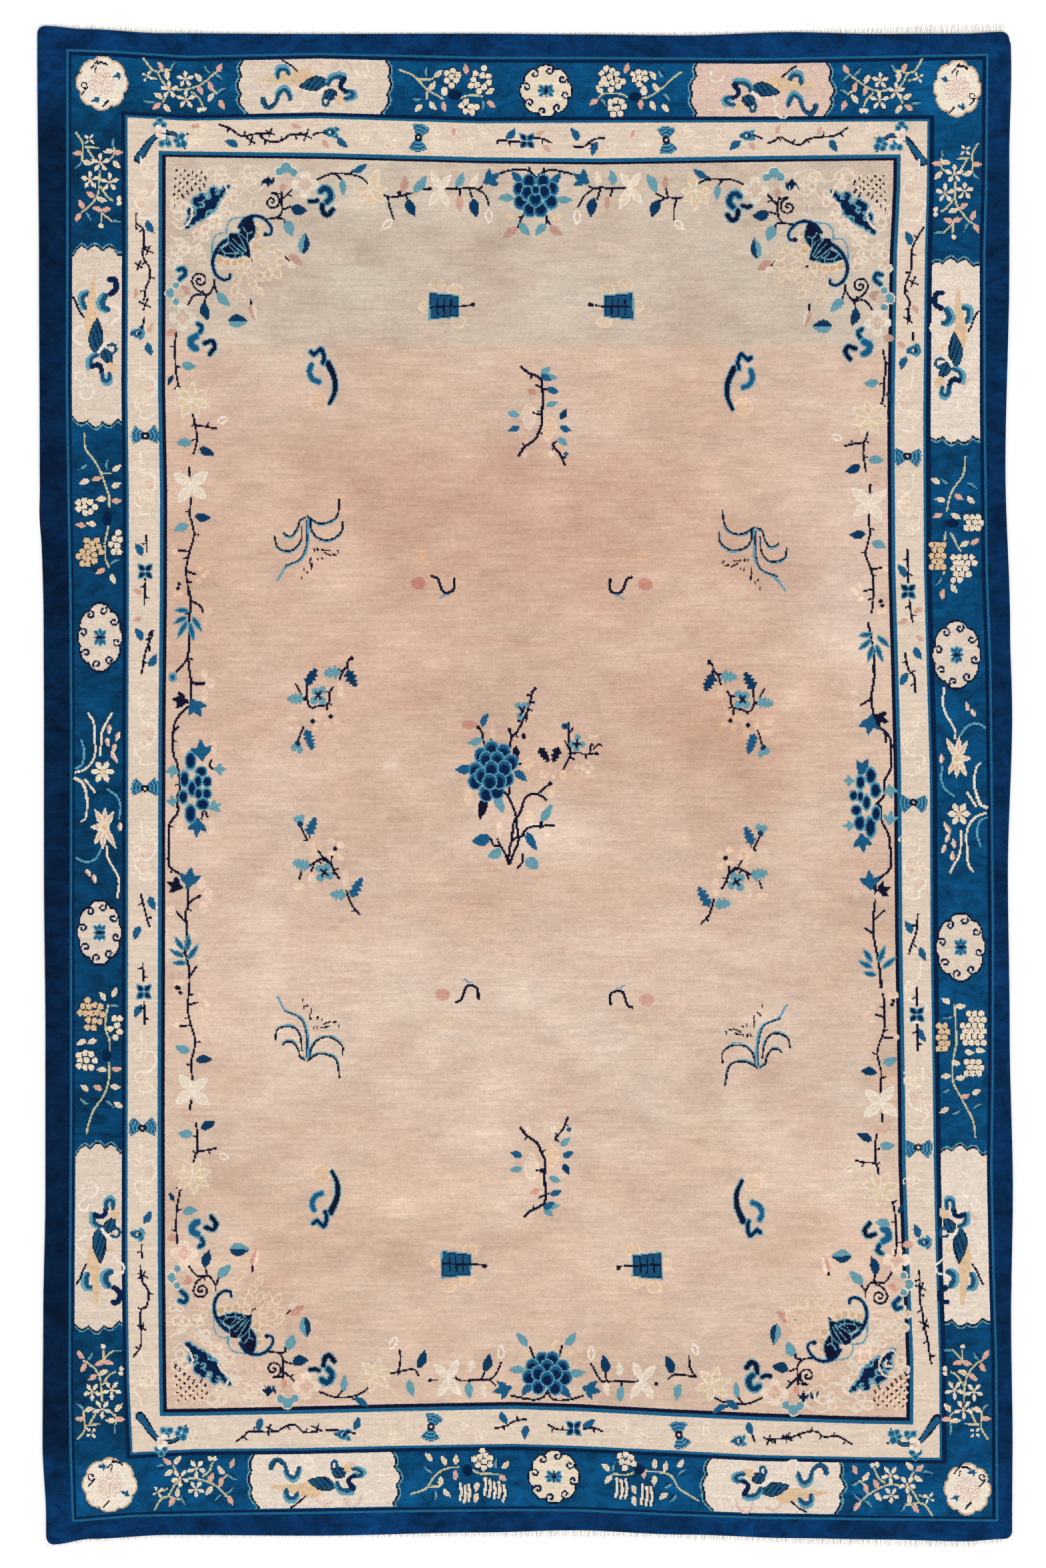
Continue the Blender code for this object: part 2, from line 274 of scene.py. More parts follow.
# The part of the chart about a place, with each knot's offset from it
def around(x, y, reach, reachY=None):
    reachY = reach if reachY is None else reachY
    cx = hand["x"] + hand["flipX"] * x
    cy = hand["y"] + hand["flipY"] * y
    s, t = unbent(cx, cy)
    cols = slice(*np.searchsorted(chartX, (s - reach, s + reach)))
    rows = slice(*np.searchsorted(chartY, (t - reachY, t + reachY)))
    area = (rows, cols)
    return area, (knotX[area] - cx) * hand["flipX"], (knotY[area] - cy) * hand["flipY"]


# Ties each coat's dye where the shape is deeper than the coat's start. A coat is a dye and its
# start, or only a dye, which starts at nought
def paint(area, depth, *coats):
    patch = chart[area]
    for coat in coats:
        dye, start = (coat, 0.0) if isinstance(coat, str) else coat
        patch[depth > start] = dyeNumber[dye]


# An ellipse: its depth is the least radius times one less its own distance
def disc(x, y, wide, high, *coats):
    area, dx, dy = around(x, y, wide + 8.0, high + 8.0)
    paint(area, min(wide, high) * (1.0 - np.hypot(dx / wide, dy / high)), *coats)


# The place a way off in a direction, in degrees
def away(x, y, angle, far):
    turn = np.radians(angle)
    return x + far * np.cos(turn), y + far * np.sin(turn)


# A leaf about its middle: half its width times the sine of the share run from base to tip
def leafDepth(dx, dy, angle, length, width, bend=0.0, full=0.8):
    turn = np.radians(angle)
    run = (dx * np.cos(turn) + dy * np.sin(turn)) / length + 0.5
    off = dy * np.cos(turn) - dx * np.sin(turn)
    share = np.clip(run, 0.0, 1.0)
    half = width / 2.0 * np.sin(np.pi * share ** full) ** 0.9
    over = length * np.maximum(np.maximum(-run, run - 1.0), 0.0)
    return half - np.abs(off - bend * width * 4.0 * share * (1.0 - share)) - over


# A leaf, with a vein of another dye, or with one side of its middle in another dye
def leaf(x, y, angle, length, width, *coats, bend=0.0, vein=None, side=None, full=0.8):
    area, dx, dy = around(x, y, length / 2.0 + width + 4.0)
    depth = leafDepth(dx, dy, angle, length, width, bend, full)
    paint(area, depth, *coats)
    if side:
        turn = np.radians(angle)
        paint(area, np.minimum(depth, dy * np.cos(turn) - dx * np.sin(turn)), side)
    if vein:
        line = leafDepth(dx, dy, angle, length * 0.8, 2.2, bend * width / 2.2, 1.0)
        paint(area, np.minimum(line, depth - 0.4), vein)


# Petals of leaf form about a centre; a petal's base is at start
def rosette(x, y, count, length, width, turn, *coats, start=0.0, full=1.2, spread=360.0):
    area, dx, dy = around(x, y, start + length + 6.0)
    depth = np.full(dx.shape, nowhere)
    for step in range(count):
        angle = turn + spread * step / count
        ox, oy = away(0.0, 0.0, angle, start + length / 2.0)
        depth = np.maximum(depth, leafDepth(dx - ox, dy - oy, angle, length, width, full=full))
    paint(area, depth, *coats)


# A smooth line through a few points: Catmull-Rom, sampled every step
def smoothLine(points, step=0.8):
    p = np.asarray(points, float)
    p = np.vstack([2.0 * p[0] - p[1], p, 2.0 * p[-1] - p[-2]])
    runs = []
    for a, b, c, d in zip(p, p[1:], p[2:], p[3:]):
        count = max(int(np.hypot(*(c - b)) / step), 2)
        t = np.linspace(0.0, 1.0, count, endpoint=False)[:, None]
        runs.append(0.5 * (2.0 * b + (c - a) * t + (2.0 * a - 5.0 * b + 4.0 * c - d) * t ** 2
                           + (3.0 * b - a - 3.0 * c + d) * t ** 3))
    return np.vstack(runs + [p[-2:-1]])


# Knots within half the width of a smooth line; the width runs evenly to its end value
def stem(points, width=3.6, dye="ink", end=None, wobble=0.5):
    line = smoothLine(points)
    share = np.linspace(0.0, 1.0, len(line))
    half = (width + ((width if end is None else end) - width) * share) / 2.0
    waver = wobble * np.sin(share * len(line) * 0.11 + chance.uniform(0.0, 6.0))
    x = hand["x"] + hand["flipX"] * line[:, 0] + waver
    y = hand["y"] + hand["flipY"] * line[:, 1] + waver[::-1]
    reach = int(max(width, end or 0.0) / knotSquares / 2.0) + 1
    near = np.arange(-reach, reach + 1)
    s, t = unbent(x, y)
    cols = ((s - cartoon["left"]) / knotSquares).astype(int)[:, None, None] + near[None, None, :]
    rows = ((t - cartoon["top"]) / knotSquares).astype(int)[:, None, None] + near[None, :, None]
    cols, rows = np.broadcast_arrays(cols, rows)
    gap = np.hypot(knotX[rows, cols] - x[:, None, None], knotY[rows, cols] - y[:, None, None])
    hit = gap <= np.maximum(half, 0.75)[:, None, None]
    chart[rows[hit], cols[hit]] = dyeNumber[dye]


def stems(width, dye, *lines):
    for points in lines:
        stem(points, width, dye)


# A curl: the radius shrinks evenly to its inward share as the angle runs
def spiral(x, y, radius, turns, start, width, dye, end=None, inward=0.15):
    share = np.linspace(0.0, 1.0, max(int(abs(turns) * 12), 4))
    angle = np.radians(start) + 2.0 * np.pi * turns * share
    r = radius * (1.0 - (1.0 - inward) * share)
    stem(np.column_stack([x + r * np.cos(angle), y + r * np.sin(angle)]), width, dye, end, 0.0)


# A cloud band: a pale line round a dark one
def ribbon(points, width=8.0, core="navy", rim=2.6):
    stem(points, width + 2.0 * rim, "sky", wobble=0.0)
    stem(points, width, core, wobble=0.0)


# The direction, in degrees, from the nearest of some stems to a place
def towards(x, y, lines):
    line = np.vstack([smoothLine(points, 2.0) for points in lines])
    gap = np.array([x, y]) - line
    near = np.argmin(np.hypot(*gap.T))
    return np.degrees(np.arctan2(gap[near, 1], gap[near, 0]))


# Lines of the border: straight on the chart, and bent only as the whole rug is

def depthInside(name):
    left, right, top, bottom = straight[name]
    across = np.minimum(chartX - left, right - chartX)
    along = np.minimum(chartY - top, bottom - chartY)
    return np.minimum(across[None, :], along[:, None])


borderLines = {
    "guard": (("line", -2.7, 0.9), ("dusk", 0.9, 5.4)),
    "inner": (("dusk", -4.5, 0.9), ("line", 0.9, 4.5)),
    "field": (("line", -2.7, 2.7), ("ink", 2.7, 7.2)),
}
for name, bands in borderLines.items():
    for dye, low, high in bands:
        depth = depthInside(name)
        chart[(depth > low) & (depth <= high)] = dyeNumber[dye]


# Corner sprays of blossom

sprayLook = {"stem": 2.8, "length": 16.0, "width": 8.0, "bend": 0.08}
leafLook = {"bone": {"vein": "sand"}, "teal": {"side": "deep"}, "blushYarn": {"side": "rosePale"}}


# A branch with its leaves; each leaf points away from the nearest stem
def spray(branch, spotsByDye):
    stems(sprayLook["stem"], "straw", *branch)
    for name, spots in spotsByDye.items():
        for x, y in spots:
            angle = towards(x, y, branch)
            leaf(x, y, angle, sprayLook["length"], sprayLook["width"], name,
                 bend=sprayLook["bend"], **leafLook.get(name, {}))


def buds(radius, dye, *spots):
    for x, y in spots:
        disc(x, y, radius, radius, dye)


# A star of five slim petals about a small heart
def blossom(x, y, radius):
    rosette(x, y, 5, radius - 1.0, 6.0, -90.0, "bone", start=1.0, full=1.5)
    disc(x, y, 2.4, 2.4, "sand")


def wideSpray():
    spray([[(216, 88), (227, 105), (236, 109), (244, 122), (254, 135)],
        [(236, 109), (248, 105), (258, 105)], [(259, 133), (278, 135), (296, 130), (312, 120),
        (326, 107)], [(316, 133), (326, 141)], [(288, 138), (298, 147), (303, 159)],
        [(251, 141), (244, 153.5)], [(221, 115), (235, 119)]],
        {"teal": [(260, 101), (312, 105), (328, 117), (333, 137), (224, 152.5)],
        "bone": [(251, 114), (297, 117), (316, 147.5), (237, 144), (251, 162.5)],
        "blushYarn": [(241, 100), (329, 102), (301, 136), (315, 129), (333, 157.5), (235, 160.5)]})
    rosette(221, 115, 4, 8.0, 4.0, -60, "bone", start=1.5)
    buds(3.6, "bone", (299, 165), (306, 164.5))
    each(blossom, (254, 135.4, 14), (278, 119.3, 13), (279, 149.5, 15))


def tallSpray():
    spray([[(115, 200), (124, 214), (124, 229), (123.5, 242)], [(129, 221), (147, 223)],
        [(132, 224), (141, 240)], [(160, 243), (170, 235), (171, 223)],
        [(150, 257), (149, 281), (145, 296.5), (132, 312), (123, 318)],
        [(151, 281), (161, 295), (170, 301)], [(152, 316), (153, 332)], [(154, 320), (169, 334)]],
        {"teal": [(117, 248), (171, 214.5), (132, 325), (175, 334)],
        "bone": [(132, 244), (163, 228), (175.5, 247), (153, 299.5)],
        "blushYarn": [(117, 231), (177.5, 229), (122, 307), (146, 314), (160, 314), (136, 292.6),
        (118, 326.6)]})
    buds(3.6, "bone", (178.5, 298), (179, 305.5), (152, 339))
    rosette(134, 209.5, 4, 8.0, 4.0, -50, "bone", start=1.5)
    each(blossom, (150.8, 244.7, 15), (135.4, 270.8, 14), (164.7, 273.8, 15))


repeated(wideSpray, (1597, 2, -1), (16, 2351, 1, -1), (1613.5, 2360.5, -1, -1))
repeated(tallSpray, (1581, 16.5, -1), (3, 2357, 1, -1), (1595, 2357, -1, -1))


# Medallions

notch = 0.10                                       # a notch's share of the radius


# A round drawn in at the notches between its lobes
def lobed(x, y, wide, high, lobes, *coats, turn=0.0):
    area, dx, dy = around(x, y, wide + 8.0, high + 8.0)
    angle = np.arctan2(dy, dx) + np.radians(turn)
    edge = 1.0 - notch * (1.0 - np.abs(np.sin(lobes * angle / 2.0))) ** 2
    paint(area, min(wide, high) * (edge - np.hypot(dx / wide, dy / high)), *coats)


def bird(x, y, turn):
    leaf(x, y, turn, 15, 5, "mid")
    leaf(x + 2, y - 1, turn + 70, 9, 4.5, "mid")
    leaf(x + 3, y + 2, turn - 60, 8, 4, "mid")


# A pale moon with a chrysanthemum, a twig, a curl and two birds
def cornerMedallion(x, y, wide, high, twig, curl, birds, stroke):
    lobed(x, y, wide, high, 8, "tan", ("ivory", 2.4), turn=20)
    for count, start, size in ((12, 9.0, 11.0), (8, 1.0, 9.0)):
        rosette(x, y, count, size, 7.0, 8 * count, "petal", ("ivory", 1.6), start=start)
    tx, ty = twig
    stems(2.4, "ink", [(tx - 9, ty + 5), (tx - 3, ty - 2), (tx + 1, ty - 8)],
        [(tx - 3, ty + 9), (tx - 1, ty + 1)])
    stem([(tx + 1, ty - 4), (tx + 8, ty - 4), (tx + 14, ty - 1)], 3.4)
    cx, cy = curl
    spiral(cx, cy, 5.5, 0.9, 40, 2.4, "ink", inward=0.5)
    stem([(cx + 5, cy + 4), (cx - 4, cy + 14)], 2.4)
    for bx, by, turn in birds:
        bird(bx, by, turn)
    stem([(stroke[0] - 4, stroke[1] + 4), (stroke[0] + 3, stroke[1] - 4)], 3.2)


cornerMedallion(153.4, 125.4, 39, 41, (146, 99), (127, 128),
    ((176.5, 114, -20), (143.4, 150.5, 160)), (159.5, 156.5))
cornerMedallion(1434.6, 133.3, 36, 43, (1436, 105), (1457, 144),
    ((1415, 119.5, 200), (1440.7, 161, 20)), (1426, 166))
cornerMedallion(164.8, 2225.5, 41.5, 41, (170, 2196), (137, 2213),
    ((154, 2198, 0), (188.4, 2239, 30)), (160.7, 2255))
cornerMedallion(1449.7, 2231.8, 35.4, 39.2, (1440, 2203), (1472, 2214),
    ((1457, 2207, 0), (1431, 2244.6, 160)), (1452, 2257))


# A pale lobed round with a ring of dark hooks curling inward about a blue flower
def scrollMedallion(x, y, wide, high, upright):
    lobed(x, y, wide, high, 8, ("ink", -1.4), ("panel" if upright else "bone", 1.0), turn=22.5)
    ringX, ringY = wide * 0.77, high * 0.80
    for step in range(8):
        angle = 360.0 * step / 8.0 + 10.0
        cx = x + ringX * np.cos(np.radians(angle))
        cy = y + ringY * np.sin(np.radians(angle))
        spiral(cx, cy, 6.2, 0.85, angle + 40.0, 2.9, "navy", 3.6, inward=0.35)
    turn = 90.0 if upright else 0.0
    for side in (-1, 1):
        rosette(x, y, 3, 13, 7.5, turn + 90 - 90 * side - 38, "sky", ("mid", 1.6), start=1.0,
                spread=114.0)
    leaf(x, y, turn + 90, 20, 7, "mid", vein="ink")
    disc(x, y, 3.2, 3.2, "ink")


each(scrollMedallion, (818.5, 137.0, 38.6, 38.6, False), (830.2, 2213.5, 38.0, 39.3, False),
    (150.4, 955.8, 33.0, 51.0, True), (149.6, 1398.0, 33.0, 48.0, True),
    (1433.5, 982.0, 36.0, 50.5, True), (1439.7, 1420.0, 36.6, 50.6, True))


# Berry sprays of the blue border

def berries(dye, *spots):
    for x, y in spots:
        disc(x, y, 4.7, 4.7, ("dusk", -1.0), dye)


def topLeftBerries():
    spray([[(599, 105.5), (614.5, 111), (625, 118.5), (640.5, 135), (651, 141), (663.5, 149)],
        [(625, 118.5), (643.6, 120), (649, 118)], [(640.5, 135), (640, 149)],
        [(685, 149), (706, 143), (723, 146)]], {"teal": [(640.5, 108), (624, 148), (723, 158)],
        "bone": [(657, 111), (648, 129), (627.5, 163), (649, 159), (734.6, 137)],
        "blushYarn": [(666, 161), (737, 157), (698, 104)]})
    disc(682, 143, 11, 7, "dusk")
    berries("bone", (670, 110.5), (679, 107), (677, 116), (670, 122), (687, 113), (684, 121),
        (677, 129), (712.5, 111), (710, 120), (706, 129), (726, 103), (723, 114), (732, 115),
        (733, 124), (726, 131), (715.5, 128), (718.6, 137), (692, 159), (699, 153), (705.6, 160),
        (698, 167), (708, 169), (715, 161))
    disc(666.5, 137.6, 5, 7, "bone")


def topRightBerries():
    spray([[(898, 147.6), (906, 141), (926, 141), (944, 147.6)],
        [(960, 148), (973, 146), (985, 138), (1001, 124.6), (1020.5, 109)]],
        {"teal": [(904, 155), (991, 111), (999, 147.6)],
        "bone": [(898, 135), (978, 114), (982, 131.5), (979, 159), (998, 163)],
        "blushYarn": [(890, 154), (939, 103), (961, 158)]})
    disc(952, 146, 10, 7, "dusk")
    berries("bone", (909, 104), (917, 107), (902, 111), (924, 112), (914, 116), (905, 119),
        (901, 127), (909, 127), (918, 124), (926, 121), (933, 123), (927, 130), (916, 135),
        (915, 154), (923, 151), (931, 153), (915, 163), (925, 164), (935, 161), (919, 172),
        (930, 171), (949, 112), (957, 108.5), (966, 111), (951, 120), (959, 117), (967, 119),
        (958, 127))
    disc(965, 137, 5, 7, "bone")


def leftBerries():
    spray([[(126.7, 651), (129, 672), (139, 687.5), (152, 709), (159, 731), (164, 745), (165, 759)],
        [(152, 709), (165, 710)], [(165, 774), (158, 815)], [(158, 819), (158, 837), (164, 851)]],
        {"teal": [(124, 700), (162, 696), (172.6, 843.5)],
        "bone": [(127, 723), (175.5, 702), (174.6, 727), (152, 749), (137, 786), (170, 868)],
        "blushYarn": [(144.5, 719), (175.5, 751), (121, 788), (151, 857)]})
    disc(161, 778, 7, 11, "dusk")
    berries("bone", (118, 754), (127, 751), (136, 753), (118, 763), (127, 761), (143, 760),
        (136, 768), (128, 769), (177.5, 799), (172, 808), (180, 809), (167, 816), (176, 818),
        (171, 827), (179, 828))
    berries("sand", (130, 810.5), (146, 810.5), (138, 815.5), (131, 820), (148, 820), (140, 824),
        (152, 828), (132, 829), (124, 827), (119, 834), (127, 837), (135, 838), (142, 833),
        (124, 845), (132, 846), (142, 841))


def leftLowBerries():
    spray([[(163, 1506), (158, 1538), (165, 1560), (165, 1577)],
        [(164, 1593), (164, 1613), (156, 1643), (141, 1663), (135, 1680), (130, 1700)]],
        {"teal": [(172.6, 1509), (126, 1650), (165, 1656)],
        "bone": [(171.6, 1487.6), (154, 1493.6), (122.6, 1563), (138, 1562), (153, 1604),
        (127, 1631), (174, 1629), (178.5, 1656)], "blushYarn": [(175.5, 1602), (146, 1631)]})
    disc(160, 1582, 7, 9, "dusk")
    berries("sand", (131.5, 1499.5), (125, 1508), (134, 1509), (143, 1507), (151, 1509),
        (121, 1518), (129, 1519), (138, 1519), (146, 1518), (154, 1521), (133, 1529), (142, 1530),
        (150, 1531), (131, 1540), (141, 1541))
    berries("bone", (172, 1527), (180, 1527), (166, 1542), (176, 1537), (180, 1547), (173, 1555),
        (119, 1582), (128, 1579), (137, 1580), (121, 1590), (130, 1589), (143, 1590), (119, 1598),
        (128, 1600), (137, 1600))


def rightBerries():
    spray([[(1447, 686), (1442, 714), (1424, 742), (1419, 767)],
        [(1417, 798), (1412, 830), (1414, 860)], [(1424, 800), (1440, 826)]],
        {"teal": [(1416, 721), (1456.5, 729), (1407, 871)],
        "bone": [(1401, 721), (1409, 750), (1455, 750), (1433, 774), (1445.6, 815), (1430, 883)],
        "blushYarn": [(1437, 745), (1404.6, 774), (1461, 812), (1413, 891.5)]})
    disc(1427, 785, 10, 7, "dusk")
    berries("bone", *[(1448 + 9 * i + 4 * (j % 2), 776 + 8 * j) for j in range(3) for i in range(3)])
    berries("sand", *[(1397 + 8.5 * i + 4 * (j % 2), 817 + 8.4 * j) for j in range(5) for i in range(3)
                      if i < 2 or j % 2 == 0])
    berries("bone", *[(1429 + 9 * i + 4 * (j % 2), 836 + 8.4 * j) for j in range(5) for i in range(4)
                      if i < 4 - j // 2])


def rightLowBerries():
    spray([[(1430, 1508), (1433, 1558), (1427, 1613), (1441, 1647), (1456.5, 1676),
        (1461.5, 1704.6)]], {"teal": [(1419, 1525), (1416, 1635), (1465, 1659), (1432, 1667)],
        "bone": [(1417, 1500.5), (1440, 1508), (1433, 1593), (1453, 1577), (1469, 1574),
        (1417, 1614), (1440, 1615), (1463.5, 1636), (1415, 1665)], "blushYarn": [(1446, 1643)]})
    berries("bone", *[(1443 + 9 * i + 4 * (j % 2), 1520 + 8.6 * j) for j in range(6) for i in range(4)
                      if i > 0 or j > 1])
    berries("sand", *[(1407 + 9 * i + 4 * (j % 2), 1538 + 8.6 * j) for j in range(5) for i in range(2)])
    berries("bone", *[(1449 + 9 * i + 4 * (j % 2), 1592 + 8.6 * j) for j in range(3) for i in range(3)])


def bottomLeftBerries():
    spray([[(616, 2240), (639, 2230), (654.6, 2210), (670, 2200.5), (687.5, 2199)],
        [(639, 2230), (659, 2228)], [(705, 2201), (722, 2209), (746, 2209)]],
        {"teal": [(642, 2202), (652, 2241), (744, 2194)],
        "bone": [(642, 2184), (665, 2189), (683, 2187.5), (660, 2220), (670, 2238), (715, 2229),
        (714, 2245.6), (758, 2195)], "blushYarn": [(683, 2212), (754, 2215)]})
    disc(700.5, 2204, 8, 9, "dusk")
    berries("bone", (723, 2175), (728, 2182), (735, 2186), (734, 2195), (719, 2184), (726, 2191),
        (711, 2187), (717, 2196), (725, 2200))
    for x, y in ((690, 2224), (697, 2227), (703, 2225), (727, 2216), (734, 2219), (741, 2222),
            (748, 2221), (755, 2226)):
        stem([(x, y), (x + 1.5, y + 12), (x - 1, y + 24)], 4.2, "bone")
        stem([(x + 3.4, y), (x + 4.5, y + 12), (x + 3, y + 24)], 1.6, "dusk")


def bottomRightBerries():
    spray([[(1047, 2249), (1020, 2233), (1007, 2213.5), (986, 2206), (954, 2204)],
        [(954, 2204), (940, 2211), (919, 2209)]],
        {"teal": [(921, 2199), (1023, 2207), (1000.5, 2226.5), (1008, 2246)],
        "bone": [(907.5, 2199), (981, 2194), (997, 2198), (1020, 2193), (981, 2220), (994, 2243),
        (951, 2233), (951, 2250), (912, 2218)], "blushYarn": [(965, 2209)]})
    disc(958, 2203, 8, 8, "dusk")
    berries("bone", (929, 2182), (938, 2180), (946, 2185), (932, 2191), (941, 2192), (950, 2194),
        (936, 2200))
    for x, y in ((924, 2216), (931, 2219), (938, 2218), (962, 2226), (969, 2229), (976, 2229)):
        stem([(x, y), (x + 1.5, y + 14), (x - 1, y + 27)], 4.2, "bone")
        stem([(x + 3.4, y), (x + 4.5, y + 14), (x + 3, y + 27)], 1.6, "dusk")


for group in (topLeftBerries, topRightBerries, leftBerries, leftLowBerries, rightBerries,
              rightLowBerries, bottomLeftBerries, bottomRightBerries):
    group()


# Lily and lotus sprays at the middle of the long sides

def lilySpray():
    stems(3.4, "bone", [(133, 1070), (141, 1086), (142, 1133), (131, 1151), (113, 1158)],
        [(167, 1070), (153, 1100), (151, 1131)])
    stem([(122, 1109), (127, 1129), (124, 1145), (113, 1152)], 3.0, "sky")
    stem([(113, 1167), (123, 1173), (131, 1196.5), (129, 1224), (123, 1232)], 5.0, "bone", 2.6)
    stem([(129, 1169), (142, 1188)], 3.4, "bone")
    stem([(162, 1184), (175, 1193), (180.5, 1208), (179.5, 1228)], 3.0, "sky")
    stem([(160, 1270), (161, 1283.5), (173, 1305), (179, 1325), (176.5, 1345)], 3.4, "bone")
    stem([(115, 1286.5), (129, 1292), (143, 1287.5), (152, 1275)], 3.0, "sky")
    for x, y, turn, size in ((164, 1094, 95, 15), (162, 1113, 80, 15), (176.5, 1105, 110, 15),
            (171, 1122, 110, 16), (172, 1136, 60, 22), (180.5, 1240, 90, 14), (133, 1309, 60, 14),
            (142, 1318, 80, 14)):
        leaf(x, y, turn, size, 7.0, "bone", side="rosePale")
    rosette(154, 1157, 6, 17, 8.5, 60, "bone", start=1.0, full=1.3)
    disc(154, 1157, 3.4, 4.4, "sand")
    for turn, reach in ((-118, 30), (-88, 28), (-60, 27), (62, 36), (95, 34), (120, 30), (180, 20)):
        leaf(*away(157, 1240, turn, reach / 2.0), turn, reach + 2.0, 10.0, "bone", vein="rosePale")
    each(disc, (157, 1240, 8, 9, "bone"), (157, 1240, 4, 5, "sand"))


repeated(lilySpray, (1591.5, 2377.3, -1, -1))


# Reserved panels with cranes and cloud bands

panelEdges = {"guard": 6.3, "inner": -4.5}         # depths inside each line
insideGuard, insideInner = depthInside("guard"), depthInside("inner")


# A pale ground between two scalloped ends, as wide as the blue border. low and high are the
# ends' places, each with the lobes of its scallop; near is a place beside the panel's middle
def panel(low, high, upright, near, dye="panel"):
    reachAlong = (high[-1][1] - low[-1][1]) / 2.0 + 30.0
    cx, cy = near
    area, dx, dy = around(cx, cy, *((60.0, reachAlong) if upright else (reachAlong, 60.0)))
    across, along = (dx + cx, dy + cy) if upright else (dy + cy, dx + cx)
    scallop, period, dip = (7.0, 22.5, 6.4) if upright else (5.0, 27.0, 2.4)

    def end(rows, sign):
        places = np.array(rows, float)
        base = np.interp(across, places[:, 0], places[:, 1])
        lobes = np.abs(np.sin((across - places[0, 0]) * np.pi / period))
        return base + sign * (scallop * lobes - dip)

    depth = np.minimum(along - end(low, -1.0), end(high, 1.0) - along)
    depth[insideGuard[area] < panelEdges["guard"]] = nowhere
    depth[insideInner[area] > panelEdges["inner"]] = nowhere
    paint(area, depth, ("sky", -5.8), ("ink", -3.4), dye)


# A cloud band with its pale rim on one side
def cloudBand(points, width=6.0, over=(0.0, -3.8)):
    stem([(x + over[0], y + over[1]) for x, y in points], width + 2.6, "sky", wobble=0.0)
    stem(points, width, "wing", wobble=0.0)


# A crane in flight among clouds, lying along its panel
def longCrane():
    stems(4.2, "panelRose", [(461, 106), (466, 97), (474, 94), (484, 98)],
        [(503, 104), (508, 94), (517, 92), (525, 97), (529, 108)])
    stems(3.2, "panelPale", [(532, 106), (537, 113), (546, 115), (552, 109), (551, 98)],
        [(450, 147), (456, 155), (451, 165), (442, 169), (436, 165)],
        [(470, 138), (458, 137), (455, 144)])
    stem([(395, 121.5), (415, 119.5), (435, 118), (457, 116)], 5.0, "tailYarn", 24.0)
    stem([(400, 122.5), (428, 121.5), (452, 122)], 1.8, "straw")
    stem([(424, 91), (434, 97), (445, 107.5)], 3.0)
    cloudBand([(416.5, 116.7), (418.2, 107.6), (422.5, 104.8), (428.5, 105.3), (433, 111)],
        over=(-1.0, -4.0))
    cloudBand([(416, 149), (419, 140.5), (426.6, 135.5), (432, 140), (435.5, 150)])
    stem([(394, 150), (396, 156.5), (403, 162.5), (412, 157), (415.5, 150)], 8.6, "wing", 6.0)
    stem([(396, 153), (402.5, 159.5), (411, 155)], 1.8)
    leaf(469.5, 126.5, 168, 45, 22, "ink", ("wing", 1.8))
    disc(495.5, 142.5, 10.5, 9.0, "ink", ("wing", 1.8))
    stems(2.0, "ink", [(460, 131), (466, 124), (470, 118)], [(467, 132), (474, 125), (479, 119)],
        [(473, 134), (480, 128), (485, 122)], [(489, 148), (494, 141), (497, 135)],
        [(495, 150), (500, 143), (503, 139)])
    stem([(487, 144), (484.5, 151), (486, 158), (489.5, 159.5), (492, 156), (492.5, 150)], 4.6,
        "wing")
    stem([(489.5, 130), (481, 136.5), (477, 140)], 5.0, "panelPale")
    leaf(510.5, 151, 35, 19, 13, "tailYarn")
    cloudBand([(492.5, 127.5), (495.5, 121.3), (500.5, 117.5), (508, 116), (515.4, 117.5)], 6.0)
    cloudBand([(517, 138.2), (524.6, 137.5), (529, 141.5), (526.5, 146), (517, 148.5)], 5.8,
        over=(3.2, 0.8))
    stem([(516.5, 119), (511, 127.5), (511.5, 133.6), (518, 138)], 9.0, "navy", 6.0)


